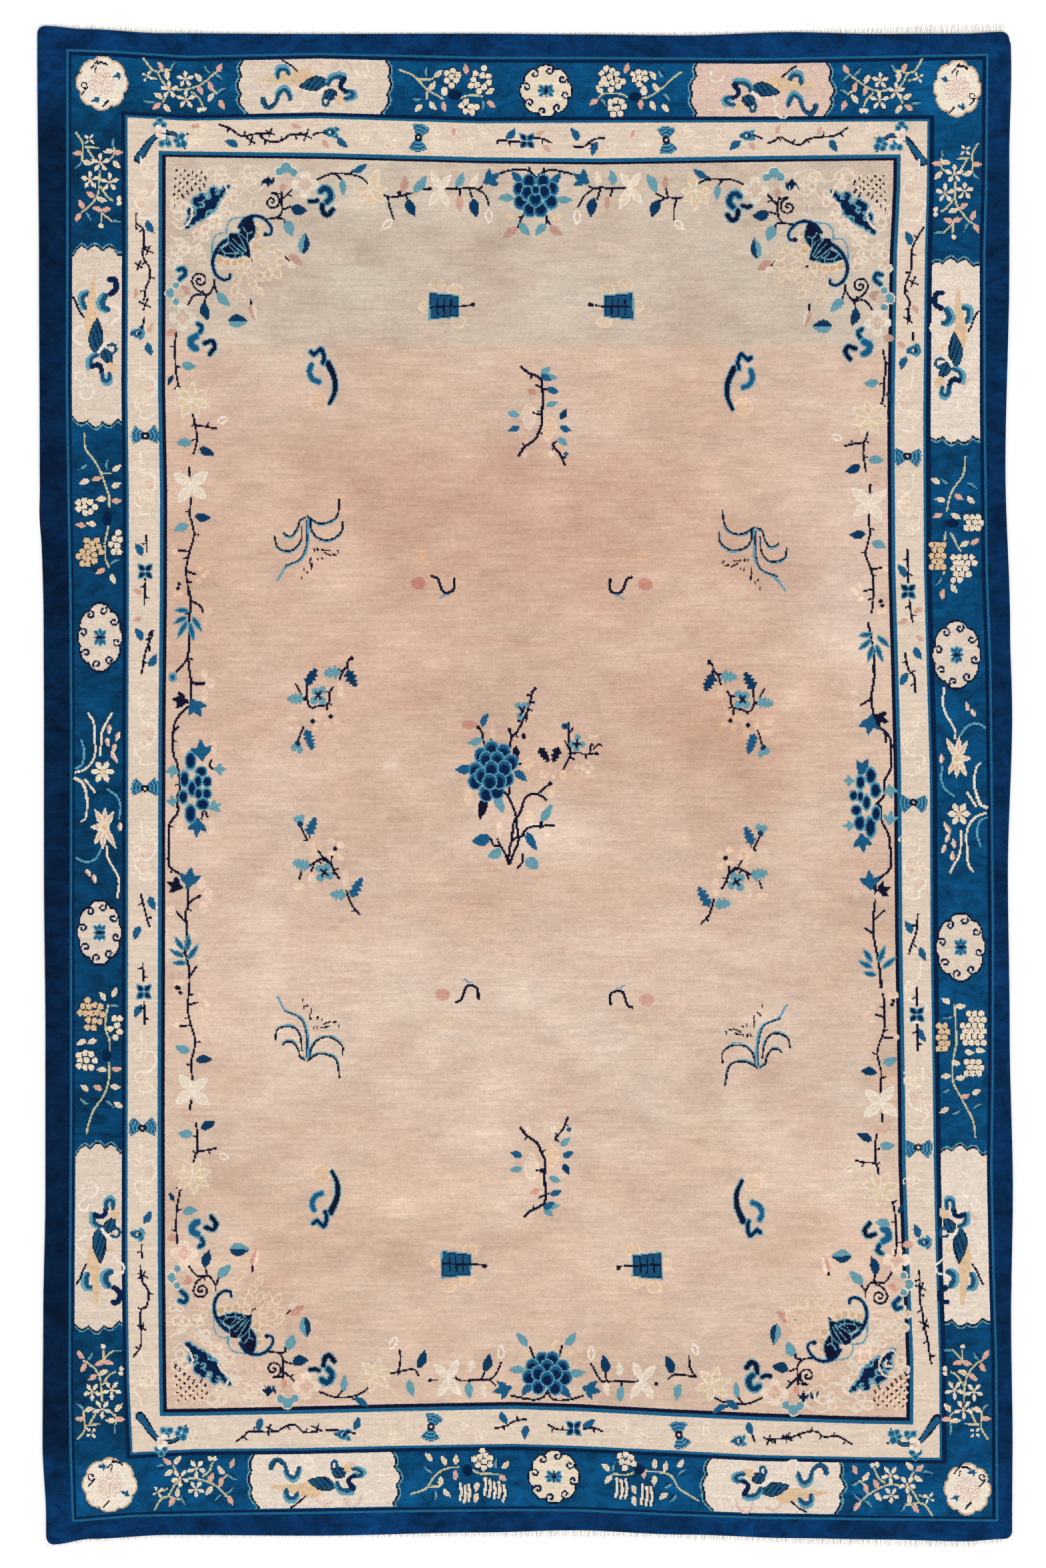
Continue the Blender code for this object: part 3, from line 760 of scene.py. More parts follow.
# The same, standing up in its panel
def tallCrane():
    stems(3.2, "panelPale", [(163, 462), (170, 460), (179, 464), (180.5, 475), (174, 480),
        (167, 488)], [(109, 506), (116, 493), (124, 488)], [(111, 510), (124, 519)],
        [(122, 574), (114, 567), (116, 558), (125, 558), (129, 566)],
        [(122, 580), (134, 576), (141, 586), (136, 598), (124, 597), (119, 588)])
    stem([(119, 545), (128, 552), (131, 562)], 3.6, "panelRose")
    stem([(110.2, 446), (115, 454.5), (119.4, 467), (125.5, 476)], 3.2)
    cloudBand([(135, 441.4), (126.5, 443.2), (124.8, 452.5), (128, 462)], 6.4, over=(-3.6, -2.0))
    cloudBand([(159, 443.6), (154, 453), (155.5, 460.5), (162.5, 464.5)], 8.0, over=(-4.2, 0.4))
    stem([(165, 419), (171.5, 419.5), (175, 426), (174, 435), (166, 441)], 8.4, "navy")
    stem([(140.3, 417), (139.5, 440), (137.5, 460), (136, 484)], 6.0, "tailYarn", 19.0)
    stem([(136, 484), (134.5, 503)], 18.0, "tailYarn", 6.0)
    each(leaf, (144.5, 503, -86, 55, 22, "ink", ("wing", 1.8)),
        (160.5, 535, 58, 31, 17, "ink", ("wing", 1.8)))
    stems(2.0, "ink", [(139, 498), (142, 510), (146, 522)], [(143, 491), (147, 504), (150, 515)],
        [(147, 484), (151, 497), (154, 507)], [(156, 527), (163, 543)], [(162, 524), (168, 538)])
    stem([(162, 519), (168, 517.5), (173, 519.5), (174, 526), (169, 530.5), (166, 528)], 4.6,
        "wing")
    stem([(161, 513.5), (152, 523), (145.5, 534)], 5.0, "panelPale")
    stem([(156, 500), (160, 496.5), (164, 500), (162, 506)], 2.4, "tailYarn")
    leaf(168.8, 553, 62, 20, 14, "tailYarn")
    cloudBand([(146.2, 532.9), (139, 537), (136.5, 543), (138, 551)], over=(-4.0, 0.4))
    stem([(138.5, 550.5), (144.4, 547.7), (151, 549.5), (154, 559)], 7.6, "navy")
    cloudBand([(154, 560), (154.6, 568), (159.5, 572), (164.5, 569), (164, 560)], 5.4,
        over=(0.6, 3.6))


panel([(88, 366), (118, 361), (150, 361), (174, 372)],
    [(88, 576), (112, 583), (150, 580), (174, 571)], False, (472, 130))
panel([(88, 1049), (124, 1041), (142, 1037), (178, 1045)], [(93, 1238), (143, 1247), (178, 1234)],
    False, (1143, 133), "panelBlush")
panel([(109, 381), (123, 370), (147, 371), (170, 373), (186, 385)],
    [(109, 630), (147, 640), (186, 632)], True, (148, 506))
panel([(113, 1728), (129, 1718), (149, 1715), (167, 1717), (185, 1727)],
    [(111, 1988), (147, 1995), (182, 1984)], True, (149, 1855))
panel([(1390, 400), (1410, 392), (1429, 389), (1450, 392), (1469, 400)],
    [(1390, 655), (1433, 665), (1469, 657)], True, (1430, 526), "panelLight")
panel([(1404, 1731), (1422, 1722), (1440, 1718), (1460, 1722), (1479, 1731)],
    [(1404, 1977), (1447, 1988), (1479, 1979)], True, (1441, 1853), "panelLight")
panel([(2177, 384), (2201, 377), (2235, 378), (2262, 389)], [(2172, 585), (2216, 597), (2259, 589)],
    False, (486, 2218), "panelLight")
panel([(2183, 1067), (2206, 1060), (2238, 1055), (2267, 1070)],
    [(2187, 1255), (2230, 1262), (2271, 1251)], False, (1158, 2226), "panelLight")

repeated(longCrane, (1617, 9, -1), (13, 2350, 1, -1), (1632, 2358, -1, -1))
repeated(tallCrane, (1576, 21, -1), (5, 2371, 1, -1), (1583, 2371, -1, -1))


# Tone-on-tone work of the cream border and of the field

# A small carved cloud: three lobes in outline with a tinted heart, and a curl
def cloudlet(x, y, size, turn=0.0, fill="blush", edge="pale", curl=True):
    area, dx, dy = around(x, y, size * 1.6)
    depth = np.full(dx.shape, nowhere)
    for angle, out, radius in ((0, 0.55, 0.52), (120, 0.5, 0.45), (235, 0.55, 0.48)):
        ox, oy = away(0.0, 0.0, angle + turn, out * size)
        depth = np.maximum(depth, radius * size - np.hypot(dx - ox, dy - oy))
    paint(area, depth, edge, (fill, 2.6 if curl else 3.6))
    if curl:
        spiral(*away(x, y, turn + 60, size), size * 0.42, 0.8, turn, 2.2, edge, inward=0.4)


# Round petals about a heart, in tones of the ground
def openFlower(x, y, radius, turn=0.0):
    for angle in turn + np.arange(0.0, 360.0, 90.0):
        buds(0.42 * radius, "paler", away(x, y, angle, 0.62 * radius))
        buds(0.2 * radius, "blush", away(x, y, angle, 0.32 * radius))
    buds(2.4, "ochre", (x, y))


# Figures shared by the cream border and the field

def blueLeaf(x, y, turn, length=22.0, width=11.0, dye="mid"):
    leaf(x, y, turn, length, width, dye, bend=0.12)


# Four blue petals with dark hearts, across a twig
def fourPetal(x, y, radius):
    for angle in (45.0, 135.0, 225.0, 315.0):
        leaf(*away(x, y, angle, 0.55 * radius), angle, radius, radius * 0.72, "sky",
             ("mid", 1.2), ("ink", 3.0))


# A blue flower seen from the side: two curls and a tip
def curledFlower(x, y, turn):
    for side in (-1, 1):
        leaf(x + 6, y + side * 4, turn + side * 28, 16, 8, "sky", ("mid", 1.4))
    disc(x, y, 8, 7, ("sky", -0.6), ("mid", 1.0), ("bone", 4.6))
    leaf(x - 8, y, turn + 180, 10, 7, "mid")
    buds(2.2, "ink", (x + 2, y))


fan = {"reach": 21.0, "spread": 36.0, "lean": 8.0, "core": 5.6, "ribs": 5.2}


# Two ribbed fans out of a dark core: arcs of pale line one beyond another
def doubleFan(x, y, turn):
    area, dx, dy = around(x, y, fan["reach"] + 4.0)
    r = np.hypot(dx, dy)
    for side, lean in ((0.0, fan["lean"]), (180.0, -fan["lean"])):
        angle = np.degrees(np.arctan2(dy, dx)) - turn - side - lean
        off = np.abs((angle + 180.0) % 360.0 - 180.0)
        depth = np.minimum(fan["reach"] - r, np.radians(fan["spread"] - off) * r + 2.0)
        paint(area, np.where(r > 5.0, depth, nowhere), "mid")
        rib = np.abs((r - 6.0) % fan["ribs"] - fan["ribs"] / 2.0)
        paint(area, np.where((depth > 1.2) & (r > 6.0), 0.9 - rib, nowhere), "sky")
    disc(x, y, fan["core"], fan["core"], "ink", ("ochreYarn", 3.6))


# A dark twig with a few short thorns
def twig(thorns, *points, width=3.2):
    stem(points, width)
    line = smoothLine(points)
    for number in range(thorns):
        at = int(len(line) * (number + 0.6) / (thorns + 0.2))
        if at < len(line) - 2:
            ax, ay = line[at]
            side = -1 if number % 2 else 1
            step = line[at + 1] - line[at]
            out = np.array([-step[1], step[0]]) / np.hypot(*step) * side
            stem([(ax, ay), (ax + 6 * out[0] + 2 * step[0], ay + 6 * out[1] + 2 * step[1])], 2.6)


def cross(x, y, size):
    stems(2.8, "ink", [(x - size, y - 0.5 * size), (x + size, y + 0.6 * size)],
          [(x - 0.3 * size, y + size), (x + 0.5 * size, y - size)])


def tulip(x, y, turn):
    for lean in (-16, 16):
        leaf(x, y, turn + lean, 16.0, 8.0, ("pale", -1.0), ("rosy", 0.6))


# The cream border

# A sceptre across the corner: a thick stem, a blossom with trefoils, a curled head
def ruyi():
    stem([(208, 238), (218, 224), (230, 208), (238, 201)], 14.0, "ink", 8.0)
    stem([(208, 237), (218, 224), (230, 208), (238, 201)], 9.5, "mid", 4.0)
    stem([(246, 199), (258, 200), (268, 206)], 7.5, "ink", 6.0)
    stem([(246, 199), (258, 200), (268, 206)], 3.6, "mid")
    for x, y in ((240, 186), (248, 214)):
        for ox, oy in ((-5, 2), (5, 2), (0, -5)):
            disc(x + ox, y + oy, 5.6, 5.6, "sky", ("mid", 2.0))
    for x, y, r in ((265, 212, 5), (273, 206, 6), (276, 216, 6), (268, 218, 5)):
        disc(x, y, r, r, "sky", ("mid", 1.6))
    buds(1.8, "ink", (281, 202), (277, 223))
    for ox, oy in ((-3, -7), (4, -3), (-3, 3), (4, 7)):
        disc(241 + ox, 199 + oy, 4.6, 4.6, "ivory")
    disc(240, 199, 3.0, 4.0, "petal")


repeated(ruyi, (1591, 5, -1), (2, 2360, 1, -1), (1612, 2365, -1, -1))


# A long drifting cloud down the cream border, in a tone near the ground's
def driftCloud():
    each(disc, (226, 1102, 7, 9, "blush"), (210, 1126, 6, 7, "blush"))
    stem([(211, 1056), (212.7, 1078), (220, 1085.5), (229, 1086), (234, 1100), (225.5, 1116),
        (209, 1116), (202, 1122), (205.5, 1131), (211, 1136), (211, 1145.5), (222, 1147),
        (232, 1143.6)], 3.2, "panelPale")


for y in (-820, -520, -375, 0, 172, 490, 655, 960):
    placed(driftCloud, 0, y)
for x, y in ((1589, -815), (1579, -500), (1580, -345), (1587, 15), (1589, 200), (1591, 385),
        (1594, 545)):
    placed(driftCloud, x, y, -1)

each(cloudlet, (222, 250, 13, 20, "blush"), (300, 192, 11, 0, "blush"),
    (292, 212, 11, 140, "ochre"), (543, 206, 12, 40, "ochre"), (574, 192, 10, 0, "ochre"),
    (587, 219, 11, 180, "blush"), (652, 196, 10, 30, "blush"), (655, 218, 11, 200, "ochre"),
    (704, 214, 11, 90, "ochre"), (722, 196, 9, 10, "blush"), (916, 222, 10, 180, "blush"),
    (968, 219, 10, 60, "ochre"), (1031, 199, 10, 0, "ochre"), (1050, 223, 10, 160, "blush"),
    (1078, 203, 11, 30, "blush"), (1290, 214, 11, 150, "ochre"), (1303, 194, 10, 10, "blush"),
    (1370, 262, 12, 60, "blush"), (1373, 300, 11, 200, "ochre"), (212, 290, 12, 220, "ochre"),
    (211, 560, 11, 60, "blush"), (216, 600, 12, 180, "ochre"), (209, 700, 11, 0, "blush"),
    (219, 745, 12, 140, "ochre"), (228, 1075, 11, 60, "blush"), (210, 1050, 11, 200, "ochre"),
    (213, 1120, 12, 300, "blush"), (227, 1250, 11, 100, "ochre"), (208, 1280, 12, 20, "blush"),
    (224, 1315, 10, 200, "ochre"), (213, 1575, 12, 60, "blush"), (222, 1625, 11, 180, "ochre"),
    (208, 1740, 11, 0, "blush"), (220, 1785, 12, 120, "ochre"), (220, 2065, 12, 60, "blush"),
    (1352, 590, 11, 60, "blush"), (1371, 625, 11, 200, "ochre"), (1353, 745, 11, 20, "blush"),
    (1368, 790, 11, 150, "ochre"), (1377, 1075, 11, 60, "blush"), (1360, 1110, 11, 200, "ochre"),
    (1377, 1150, 10, 0, "blush"), (1362, 1262, 11, 140, "ochre"), (1379, 1300, 11, 40, "blush"),
    (1362, 1335, 10, 200, "ochre"), (1368, 1480, 11, 60, "blush"), (1366, 1620, 12, 180, "ochre"),
    (1386, 1660, 11, 0, "blush"), (1368, 1770, 11, 120, "blush"), (1391, 1800, 10, 220, "ochre"),
    (1380, 2080, 11, 60, "blush"), (290, 2153, 11, 30, "blush"), (322, 2140, 10, 200, "ochre"),
    (590, 2152, 11, 20, "ochre"), (612, 2136, 10, 190, "blush"), (700, 2138, 11, 90, "blush"),
    (722, 2154, 10, 300, "ochre"), (960, 2152, 11, 20, "blush"), (935, 2140, 10, 200, "ochre"),
    (1056, 2142, 11, 60, "blush"), (1088, 2157, 10, 180, "ochre"), (1308, 2158, 11, 20, "ochre"))

each(doubleFan, (627, 207, -80), (998, 211, -96), (218, 654, 178), (218, 1182, 180),
    (214, 1691, 180), (1360, 684, 2), (1368.6, 1203, 0), (1376, 1720, 0), (646, 2139, -78),
    (1017.5, 2151, -102))

each(curledFlower, (496, 199, 200), (1120, 204, -20), (207, 500, 90), (1369.5, 526, 90),
    (207, 1850, -90), (1386, 1862, -90), (514, 2150, 200), (1107, 2160, -20))

each(fourPetal, (790, 212), (218, 857), (1361, 887), (216, 1487), (1374, 1521), (860, 2141),
    rest=(15.0,))

each(blueLeaf, (347, 216, 200), (513.6, 214, 40), (766, 201, -50), (861, 202, -120),
    (891, 224, 110), (1102, 219, 140), (1250, 219, 60), (226, 341, 60), (225, 524, 70),
    (208, 824, 240), (208, 951, 240), (229, 990, -60), (229, 1354, 70), (206, 1399, 110),
    (208, 1516, 120), (221, 1824, -60), (1361, 357.5, 250), (1354, 545.5, 110), (1351, 856, 240),
    (1376, 979.5, 60), (1355.5, 1019, 120), (1361, 1390, 240), (1383, 1430, 70), (1382, 1552, 60),
    (1373, 1845, 250), (534.6, 2133, -70), (756, 2126, 60), (788.3, 2147, 100), (883, 2133, -30),
    (1125, 2142, 70), (390, 2136, 100))

each(leaf, (444, 190, 20), (488, 217, 60), (810, 200, -30), (820, 224, 40), (1127.5, 220, 60),
    (1166, 195, -70), (1228.5, 196.5, -60), (204, 441, 100), (226, 492, -60), (206, 887, 200),
    (206, 929, 160), (1372, 464, 60), (1350, 517, 200), (1376, 915, -30), (1353, 932, 160),
    (1379, 958, 40), (294, 190, 0), rest=(15.0, 7.5, "rosy"))
each(tulip, (680, 198, -100), (949, 200, -80))

twig(3, (328, 188), (346, 194), (364, 204), (388, 201), (407, 200))
twig(3, (388, 201), (396, 209), (413, 214), (427, 209), (436, 202), (458, 203))
each(cross, (405, 199, 6), (458, 203, 8), (376, 211, 6))
each(twig, (0, (470, 203), (480, 200), (488, 200)),
    (1, (745, 215), (748, 211), (768, 213), (783, 214)), (1, (800, 208), (812, 209), (826.5, 214)),
    (1, (861, 221), (874, 221), (889, 210), (906, 208)), (0, (1128, 203), (1142, 208)),
    (5, (1152, 215.5), (1160, 212), (1169, 206), (1179, 212), (1198, 218), (1212, 209), (1249, 204),
    (1270, 193)), (0, (204, 321), (205, 344)), (5, (206, 336), (215, 345), (216, 370), (215, 385.5),
    (224, 403), (225, 419), (219, 431), (216, 451)))
each(cross, (222, 376, 7), (208, 398, 6), (218, 457, 8))
each(twig, (0, (216, 478), (214, 492)), (1, (220, 802), (220, 827)), (2, (218, 868), (217, 906)),
    (0, (224, 976), (224, 950)), (2, (224, 950), (229, 948), (216, 987.5), (213, 1009)),
    (2, (212, 1341), (216, 1360), (225, 1390)), (2, (215, 1444), (215, 1470)),
    (2, (216, 1502), (217, 1535)), (1, (213, 1866), (213, 1885)),
    (5, (210, 1897), (214, 1921), (222, 1935), (221, 1957), (211, 1968), (212, 2013), (201, 2033)))
each(cross, (215, 1912, 6), (213, 1990, 6))
twig(5, (1384, 342), (1368, 370), (1365, 404), (1355.5, 436), (1362.5, 453), (1361, 480))
each(cross, (1368, 423.5, 7), (1361, 480, 6))
each(twig, (0, (1369, 500), (1369, 512)), (2, (1360, 825), (1361, 874)),
    (2, (1362, 900), (1368, 932)), (3, (1357, 979), (1361, 1003), (1370, 1015), (1372, 1038)),
    (2, (1376, 1370), (1372, 1400), (1362, 1430)), (1, (1374, 1480), (1374, 1508)),
    (2, (1375, 1536), (1375, 1575)), (6, (1378, 1905), (1379, 1950), (1388, 2000), (1396, 2045)))
each(cross, (1380, 1930, 7), (1385, 1985, 7))
twig(3, (355, 2160), (366, 2152), (375, 2146), (415, 2146))
twig(2, (415, 2146), (430, 2137), (444, 2137), (456, 2146), (476, 2146))
each(cross, (475, 2141, 7), (404, 2141, 5))
each(twig, (0, (490, 2144), (506, 2144)), (0, (520, 2147), (533, 2149)),
    (2, (742, 2140), (758, 2138), (774, 2129), (788, 2127)),
    (2, (822, 2136), (834, 2142), (850, 2143)), (1, (874, 2142), (892, 2141), (903, 2145)),
    (0, (1132, 2161), (1128, 2152)), (7, (1150, 2158), (1178, 2156), (1204, 2148), (1224, 2146),
    (1234, 2153), (1258, 2154), (1276, 2164)))
each(cross, (1152, 2158, 7), (1180, 2155, 7))


# Corners of the field: rain dots, mountain, bat, scrolling stems, flowers

def mountain():
    ridge = [(279, 341), (288, 331), (306, 315), (324, 298), (343, 280)]
    body = ((281, 339, 4), (288, 331, 6.5), (297, 323, 9), (306, 316, 10), (314, 309, 10),
        (321, 300, 8), (330, 291, 5.5), (338, 284, 4), (296, 303, 7), (303, 296, 5), (287, 318, 6),
        (320, 287, 5.5))
    for x, y, r in body:
        disc(x, y, r + 2.4, r + 2.4, "sky")
    stem(ridge, 8.0, "sky", 7.0, 0.0)
    for x, y, r in body:
        disc(x, y, r, r, "navy")
    stem(ridge, 4.5, "navy", 3.5, 0.0)
    for x, y, r, turn in ((291, 321, 5.5, 200), (302, 309, 5.5, 240), (312, 296, 6.0, 200),
            (326, 289, 4.5, 220)):
        spiral(x, y, r, 0.75, turn, 2.6, "teal", 3.6, inward=0.3)
    stem([(301, 331), (308, 327), (311, 318), (325, 314), (328, 304)], 3.2, "sky")
    stem([(303, 328), (307, 324), (309, 315), (322, 311), (325, 303)], 1.8, "ink")


def rainDots():
    for row in range(9):
        for col in range(4):
            x = 264.0 + 12.2 * col + (6.0 if row % 2 else 0.0) - 0.6 * row
            y = 257.0 + 6.0 * row + 1.0 * col
            if x + y > 592.0 - 2.4 * row or y > 313:
                continue
            disc(x - 1.5, y - 3.2, 3.0, 3.0, "ochrePale")
            stem([(x + 1.0, y - 1.2), (x + 3.0, y + 3.0)], 2.8)


def bat():
    rightWing = [(359, 341), (367, 330), (378, 325), (388, 325), (398, 330), (406.8, 341.6),
        (405.8, 351), (398.4, 353)]
    leftWing = [(345, 358), (334, 365), (325, 376), (319.5, 390), (320, 402), (324.7, 413),
        (335, 420), (344, 418), (345, 412)]
    for points in ([(340, 352), (341, 338), (349, 329), (366, 326)],
            [(318, 382), (319, 364), (326, 352), (341, 350)]):
        stem(points, 2.4, "sky", wobble=0.0)
    for x, y, r in ((379, 335, 6), (386, 343, 6), (385, 354, 6.5), (383, 368, 6.5), (329, 391, 7),
            (341, 394, 6), (352, 395, 6), (362, 392, 6)):
        disc(x, y, r + 1, r + 1, "peachYarn", ("tan", 2.6))
    stem(rightWing, 7.5, "sky", 5.0, 0.0)
    stem(leftWing, 8.5, "sky", 5.5, 0.0)
    each(leaf, (372, 344, -80, 44, 22, ("sky", -1.8), "ink"),
        (350, 376, 170, 50, 22, ("sky", -1.8), "ink"))
    stem(rightWing, 5.5, "navy", 3.2, 0.0)
    stem(leftWing, 6.0, "navy", 3.6, 0.0)
    disc(398, 352, 3.6, 3.6, "navy")
    leaf(360, 368, 48, 46, 25, ("sky", -1.2), "ink")
    for off in (-6, 0, 6):
        stem([(350 + off, 358 - off), (358 + 0.8 * off, 367 - 0.8 * off),
              (368 + 0.4 * off, 378 - 0.4 * off)], 1.9, "sky")
    stems(1.9, "sky", [(364, 341), (371, 350), (378, 348)], [(371, 350), (372, 362)],
        [(330, 371), (338, 380), (352, 381), (360, 376)], [(338, 380), (337, 387)],
        [(352, 381), (352, 388)])
    stem([(373, 387), (381, 393)], 3.0)


# Round buds together, with one pale line about them all
def cluster(*rounds):
    for x, y, r in rounds:
        disc(x, y, r + 2, r + 2, "paler")
    for x, y, r in rounds:
        disc(x, y, r, r, "teal")


def fieldCorner():
    for x, y, size, turn, fill in ((326, 262, 15, 200, "shade"), (376, 266, 14, 0, "shade"),
            (347, 290, 12, 60, "blush"), (268, 316, 14, 90, "shade"), (336, 316, 12, 160, "blush"),
            (304, 350, 13, 300, "blush"), (270, 371, 13, 150, "shade"), (298, 379, 11, 40, "shade"),
            (264, 397, 11, 200, "shade")):
        cloudlet(x, y, size * 1.15, turn, fill, "cloudYarn", curl=False)
    each(leaf, (380.5, 305, -90, 24, 13, "pale", ("shade", 3.0)),
        (305, 394, 10, 22, 14, "pale", ("shade", 3.0)))
    openFlower(322, 332, 13, turn=45)
    bat()
    spiral(408, 303, 13, 1.45, 270, 3.2, "ink", inward=0.1)
    stem([(408, 290), (415, 290.5), (421.6, 291)], 3.2)
    twig(0, (422, 289), (423, 316), (415, 327), (401, 329))
    twig(1, (423, 300), (432, 292), (440, 283))
    stems(3.2, "ink", [(423, 315), (435, 310)], [(415, 327), (425, 329), (426, 335)])
    blueLeaf(449, 314, 10, 26, 16, "deep")
    each(leaf, (434, 343, 70, 25, 16, "teal"), (424.7, 279, -80, 20, 9, "rosy"))
    cluster((419, 258, 6), (429, 252, 8), (440, 259, 6))
    disc(430, 268, 8, 9, "shade")
    each(leaf, (395, 274, -60), (402, 273, 70), (409, 272, -70), rest=(13, 5, "deep"))
    openFlower(457.4, 277.4, 20.5)
    twig(0, (476, 269), (497, 261.5), (525, 261.5), (541, 267), (552, 277))
    stems(3.0, "ink", [(505, 262), (511, 270)], [(525, 261.5), (529, 257)])
    blueLeaf(539.5, 252.7, -32, 26, 10)
    leaf(514, 281.6, 85, 26, 10, "teal")
    ribbon([(481, 287), (486, 283), (493, 286), (496, 296), (490, 303)], 8.0, "deep")
    ribbon([(464, 302), (470, 303), (476, 301)], 6.0, "ink", rim=1.6)
    ribbon([(483, 308), (485, 319), (492, 323), (499, 315)], 7.0, "ink", rim=1.6)
    leaf(456, 365, -82, 32, 17, "teal", side="deep")
    each(leaf, (444, 391, 35, 26, 12, "rosy"), (437, 398, 40, 18, 10, "paler"))
    stem([(428, 386), (433, 391)], 3.2)
    leaf(357.4, 482, 0, 30, 20, "deep", side="teal")
    leaf(380.5, 469, 75, 28, 12, "paler", side="rosy")
    stem([(376.5, 449), (376.5, 457)], 3.0)
    ribbon([(268, 405), (275, 403), (278, 411), (270, 419)], 6.0, "deep", rim=1.8)
    spiral(300, 421, 12, 1.45, 180, 3.2, "ink", inward=0.1)
    stem([(288, 421), (293, 432), (303, 440), (311, 442.6)], 3.2)
    twig(1, (321.6, 419.5), (321, 430), (311, 442.6), (293, 442.6), (281.6, 458.4))
    stems(3.2, "ink", [(309, 443), (307, 454)], [(322, 429), (327, 440)])
    blueLeaf(309, 468, 75, 28, 14, "deep")
    leaf(335, 450, 45, 28, 14, "teal")
    disc(277.4, 436, 9, 7, "rosy")
    cluster((264, 428, 5), (256, 440, 7), (264, 453, 5))
    disc(269, 441, 8, 9, "shade")
    openFlower(274.2, 476.3, 20.5)
    disc(257.4, 499.5, 8, 5.5, "rosy")
    ribbon([(297, 486), (303, 491), (300, 499)], 6.0, "deep", rim=1.8)
    ribbon([(294, 505), (286, 510), (288, 519), (294, 523)], 9.0, "mid", rim=1.8)
    ribbon([(307, 515), (318, 512), (322, 521), (315, 531)], 6.0, "ink", rim=1.8)
    rainDots()
    mountain()


# Pieces of the vines

# Leaves of one kind, each at its place and turn
def leaves(dye, length, width, *spots):
    for x, y, turn in spots:
        leaf(x, y, turn, length, width, dye, bend=0.1)


# A leaf of three points
def maple(x, y, angle, size, dye):
    leaf(x, y, angle, size, size * 0.42, dye)
    base, reach = away(x, y, angle, -0.24 * size), 0.62 * size
    for turn in (angle - 50.0, angle + 50.0):
        leaf(*away(*base, turn, 0.5 * reach), turn, reach, size * 0.32, dye)


# Pointed petals from a heart to their tips, in outline
def lily(x, y, tips, edge="creamYarn", fill="strawYarn", share=0.48):
    for tx, ty in tips:
        reach = np.hypot(tx - x, ty - y) + 1.0
        angle = np.degrees(np.arctan2(ty - y, tx - x))
        leaf((x + tx) / 2.0, (y + ty) / 2.0, angle, reach, reach * share, edge, (fill, 2.6),
             full=0.95)
    disc(x, y, 3.2, 3.2, edge)


# A closed flower hanging from its stem
def hangingBud(x, y, turn, length=24.0, width=13.0):
    leaf(x, y, turn, length, width, "milkYarn", ("blush", 3.6))


# Overlapping petals, the back ones first: a pale rim, and a dark heart towards the base
def petals(spots, wide=11.5, high=13.0, lean=(0.0, 2.2)):
    for x, y, *size in spots:
        w, h = size or (wide, high)
        disc(x, y, w, h, "sky", ("mid", 1.7))
        disc(x + lean[0], y + lean[1], 0.62 * w, 0.64 * h, "navy")


def bamboo(*spots):
    for x, y, turn, length in spots:
        leaf(x, y, turn, length, 9.5, "teal", ("mid", 1.8))


# Clouds round the mountain, and the bubbles beside the bat
def cornerClouds():
    stems(3.4, "cloudYarn", [(306, 260), (321, 250), (333, 255), (341, 265), (353, 270), (363, 255),
        (377, 250), (392, 255), (399, 267), (392, 284), (377, 289), (368, 284), (358, 294),
        (343, 289), (335, 275), (320, 272)], [(353, 289), (339, 298), (329, 311), (333, 328),
        (319, 343), (301, 352), (290, 364)], [(255, 314), (265, 302), (279, 304), (289, 318),
        (284, 333), (270, 343), (260, 334)], [(255, 353), (266, 360), (279, 363), (284, 377),
        (270, 387), (258, 382)], [(270, 366), (288, 372), (299, 366), (306, 353)],
        [(362, 268), (373, 262), (384, 268), (384, 278)], [(269, 318), (278, 318), (277, 327)])
    for x, y, turn in ((385, 385, -60), (396, 377, -40), (409, 373, -15), (419, 381, 40),
            (396, 394, 10), (421, 393, 0), (409, 399, 20), (416, 411, 60), (402, 412, 80),
            (370, 396, 120), (361, 407, 110), (355, 421, 100), (352, 436, 95), (361, 447, 40),
            (374, 411, 90), (379, 426, 75), (390, 414, 55), (388, 437, 45)):
        leaf(x, y, turn, 21, 14, "peachYarn", ("clay", 2.8), full=0.95)
    maple(402, 273, 90, 17, "dusk")


repeated(fieldCorner, (1589, 8, -1), (2, 2355, 1, -1), (1618, 2365, -1, -1))
repeated(cornerClouds, (1589, 4, -1), (0, 2358, 1, -1), (1606, 2366, -1, -1))


# Vines up the sides of the field

def sideVine():
    twig(3, (265, 500), (262, 525), (263.5, 545), (265.3, 566), (269, 582), (277, 596))
    leaves("deep", 17, 7, (256, 571, 115))
    leaves("teal", 23, 13, (283.6, 548, 10), (275.8, 665, 180), (271.8, 792, 160))
    lily(287, 601, [(287 + 30 * np.cos(a), 601 + 29 * np.sin(a))
                    for a in np.radians(range(-84, 270, 51))])
    twig(2, (289, 622), (294, 637), (309, 640), (323, 642))
    hangingBud(334.6, 630, -20, 18, 12)
    twig(1, (294, 637), (295, 660), (291.5, 681))
    leaves("deep", 25, 13, (311, 677, 25), (304.5, 775, 5))
    leaves("blush", 28, 11, (281, 692, 130))
    stem([(284, 701), (285, 713)], 3.6)
    lily(286, 729, ((261, 709), (312, 707), (267, 754), (310, 748)), "milkYarn", "creamYarn", 0.5)
    twig(4, (287, 746), (286, 760), (285, 775), (288, 786), (291.5, 804), (283.6, 830),
        (279.7, 856), (281, 875), (283, 892))
    stems(3.2, "ink", [(269, 826), (283.6, 827.6)], [(281, 857.7), (294, 861)])
    buds(3.0, "ink", (267, 882), (269, 876))
    buds(4.4, "ochrePale", (262, 827), (263, 890), (271, 891), (300, 852), (305, 864), (298, 872),
        (310, 858))


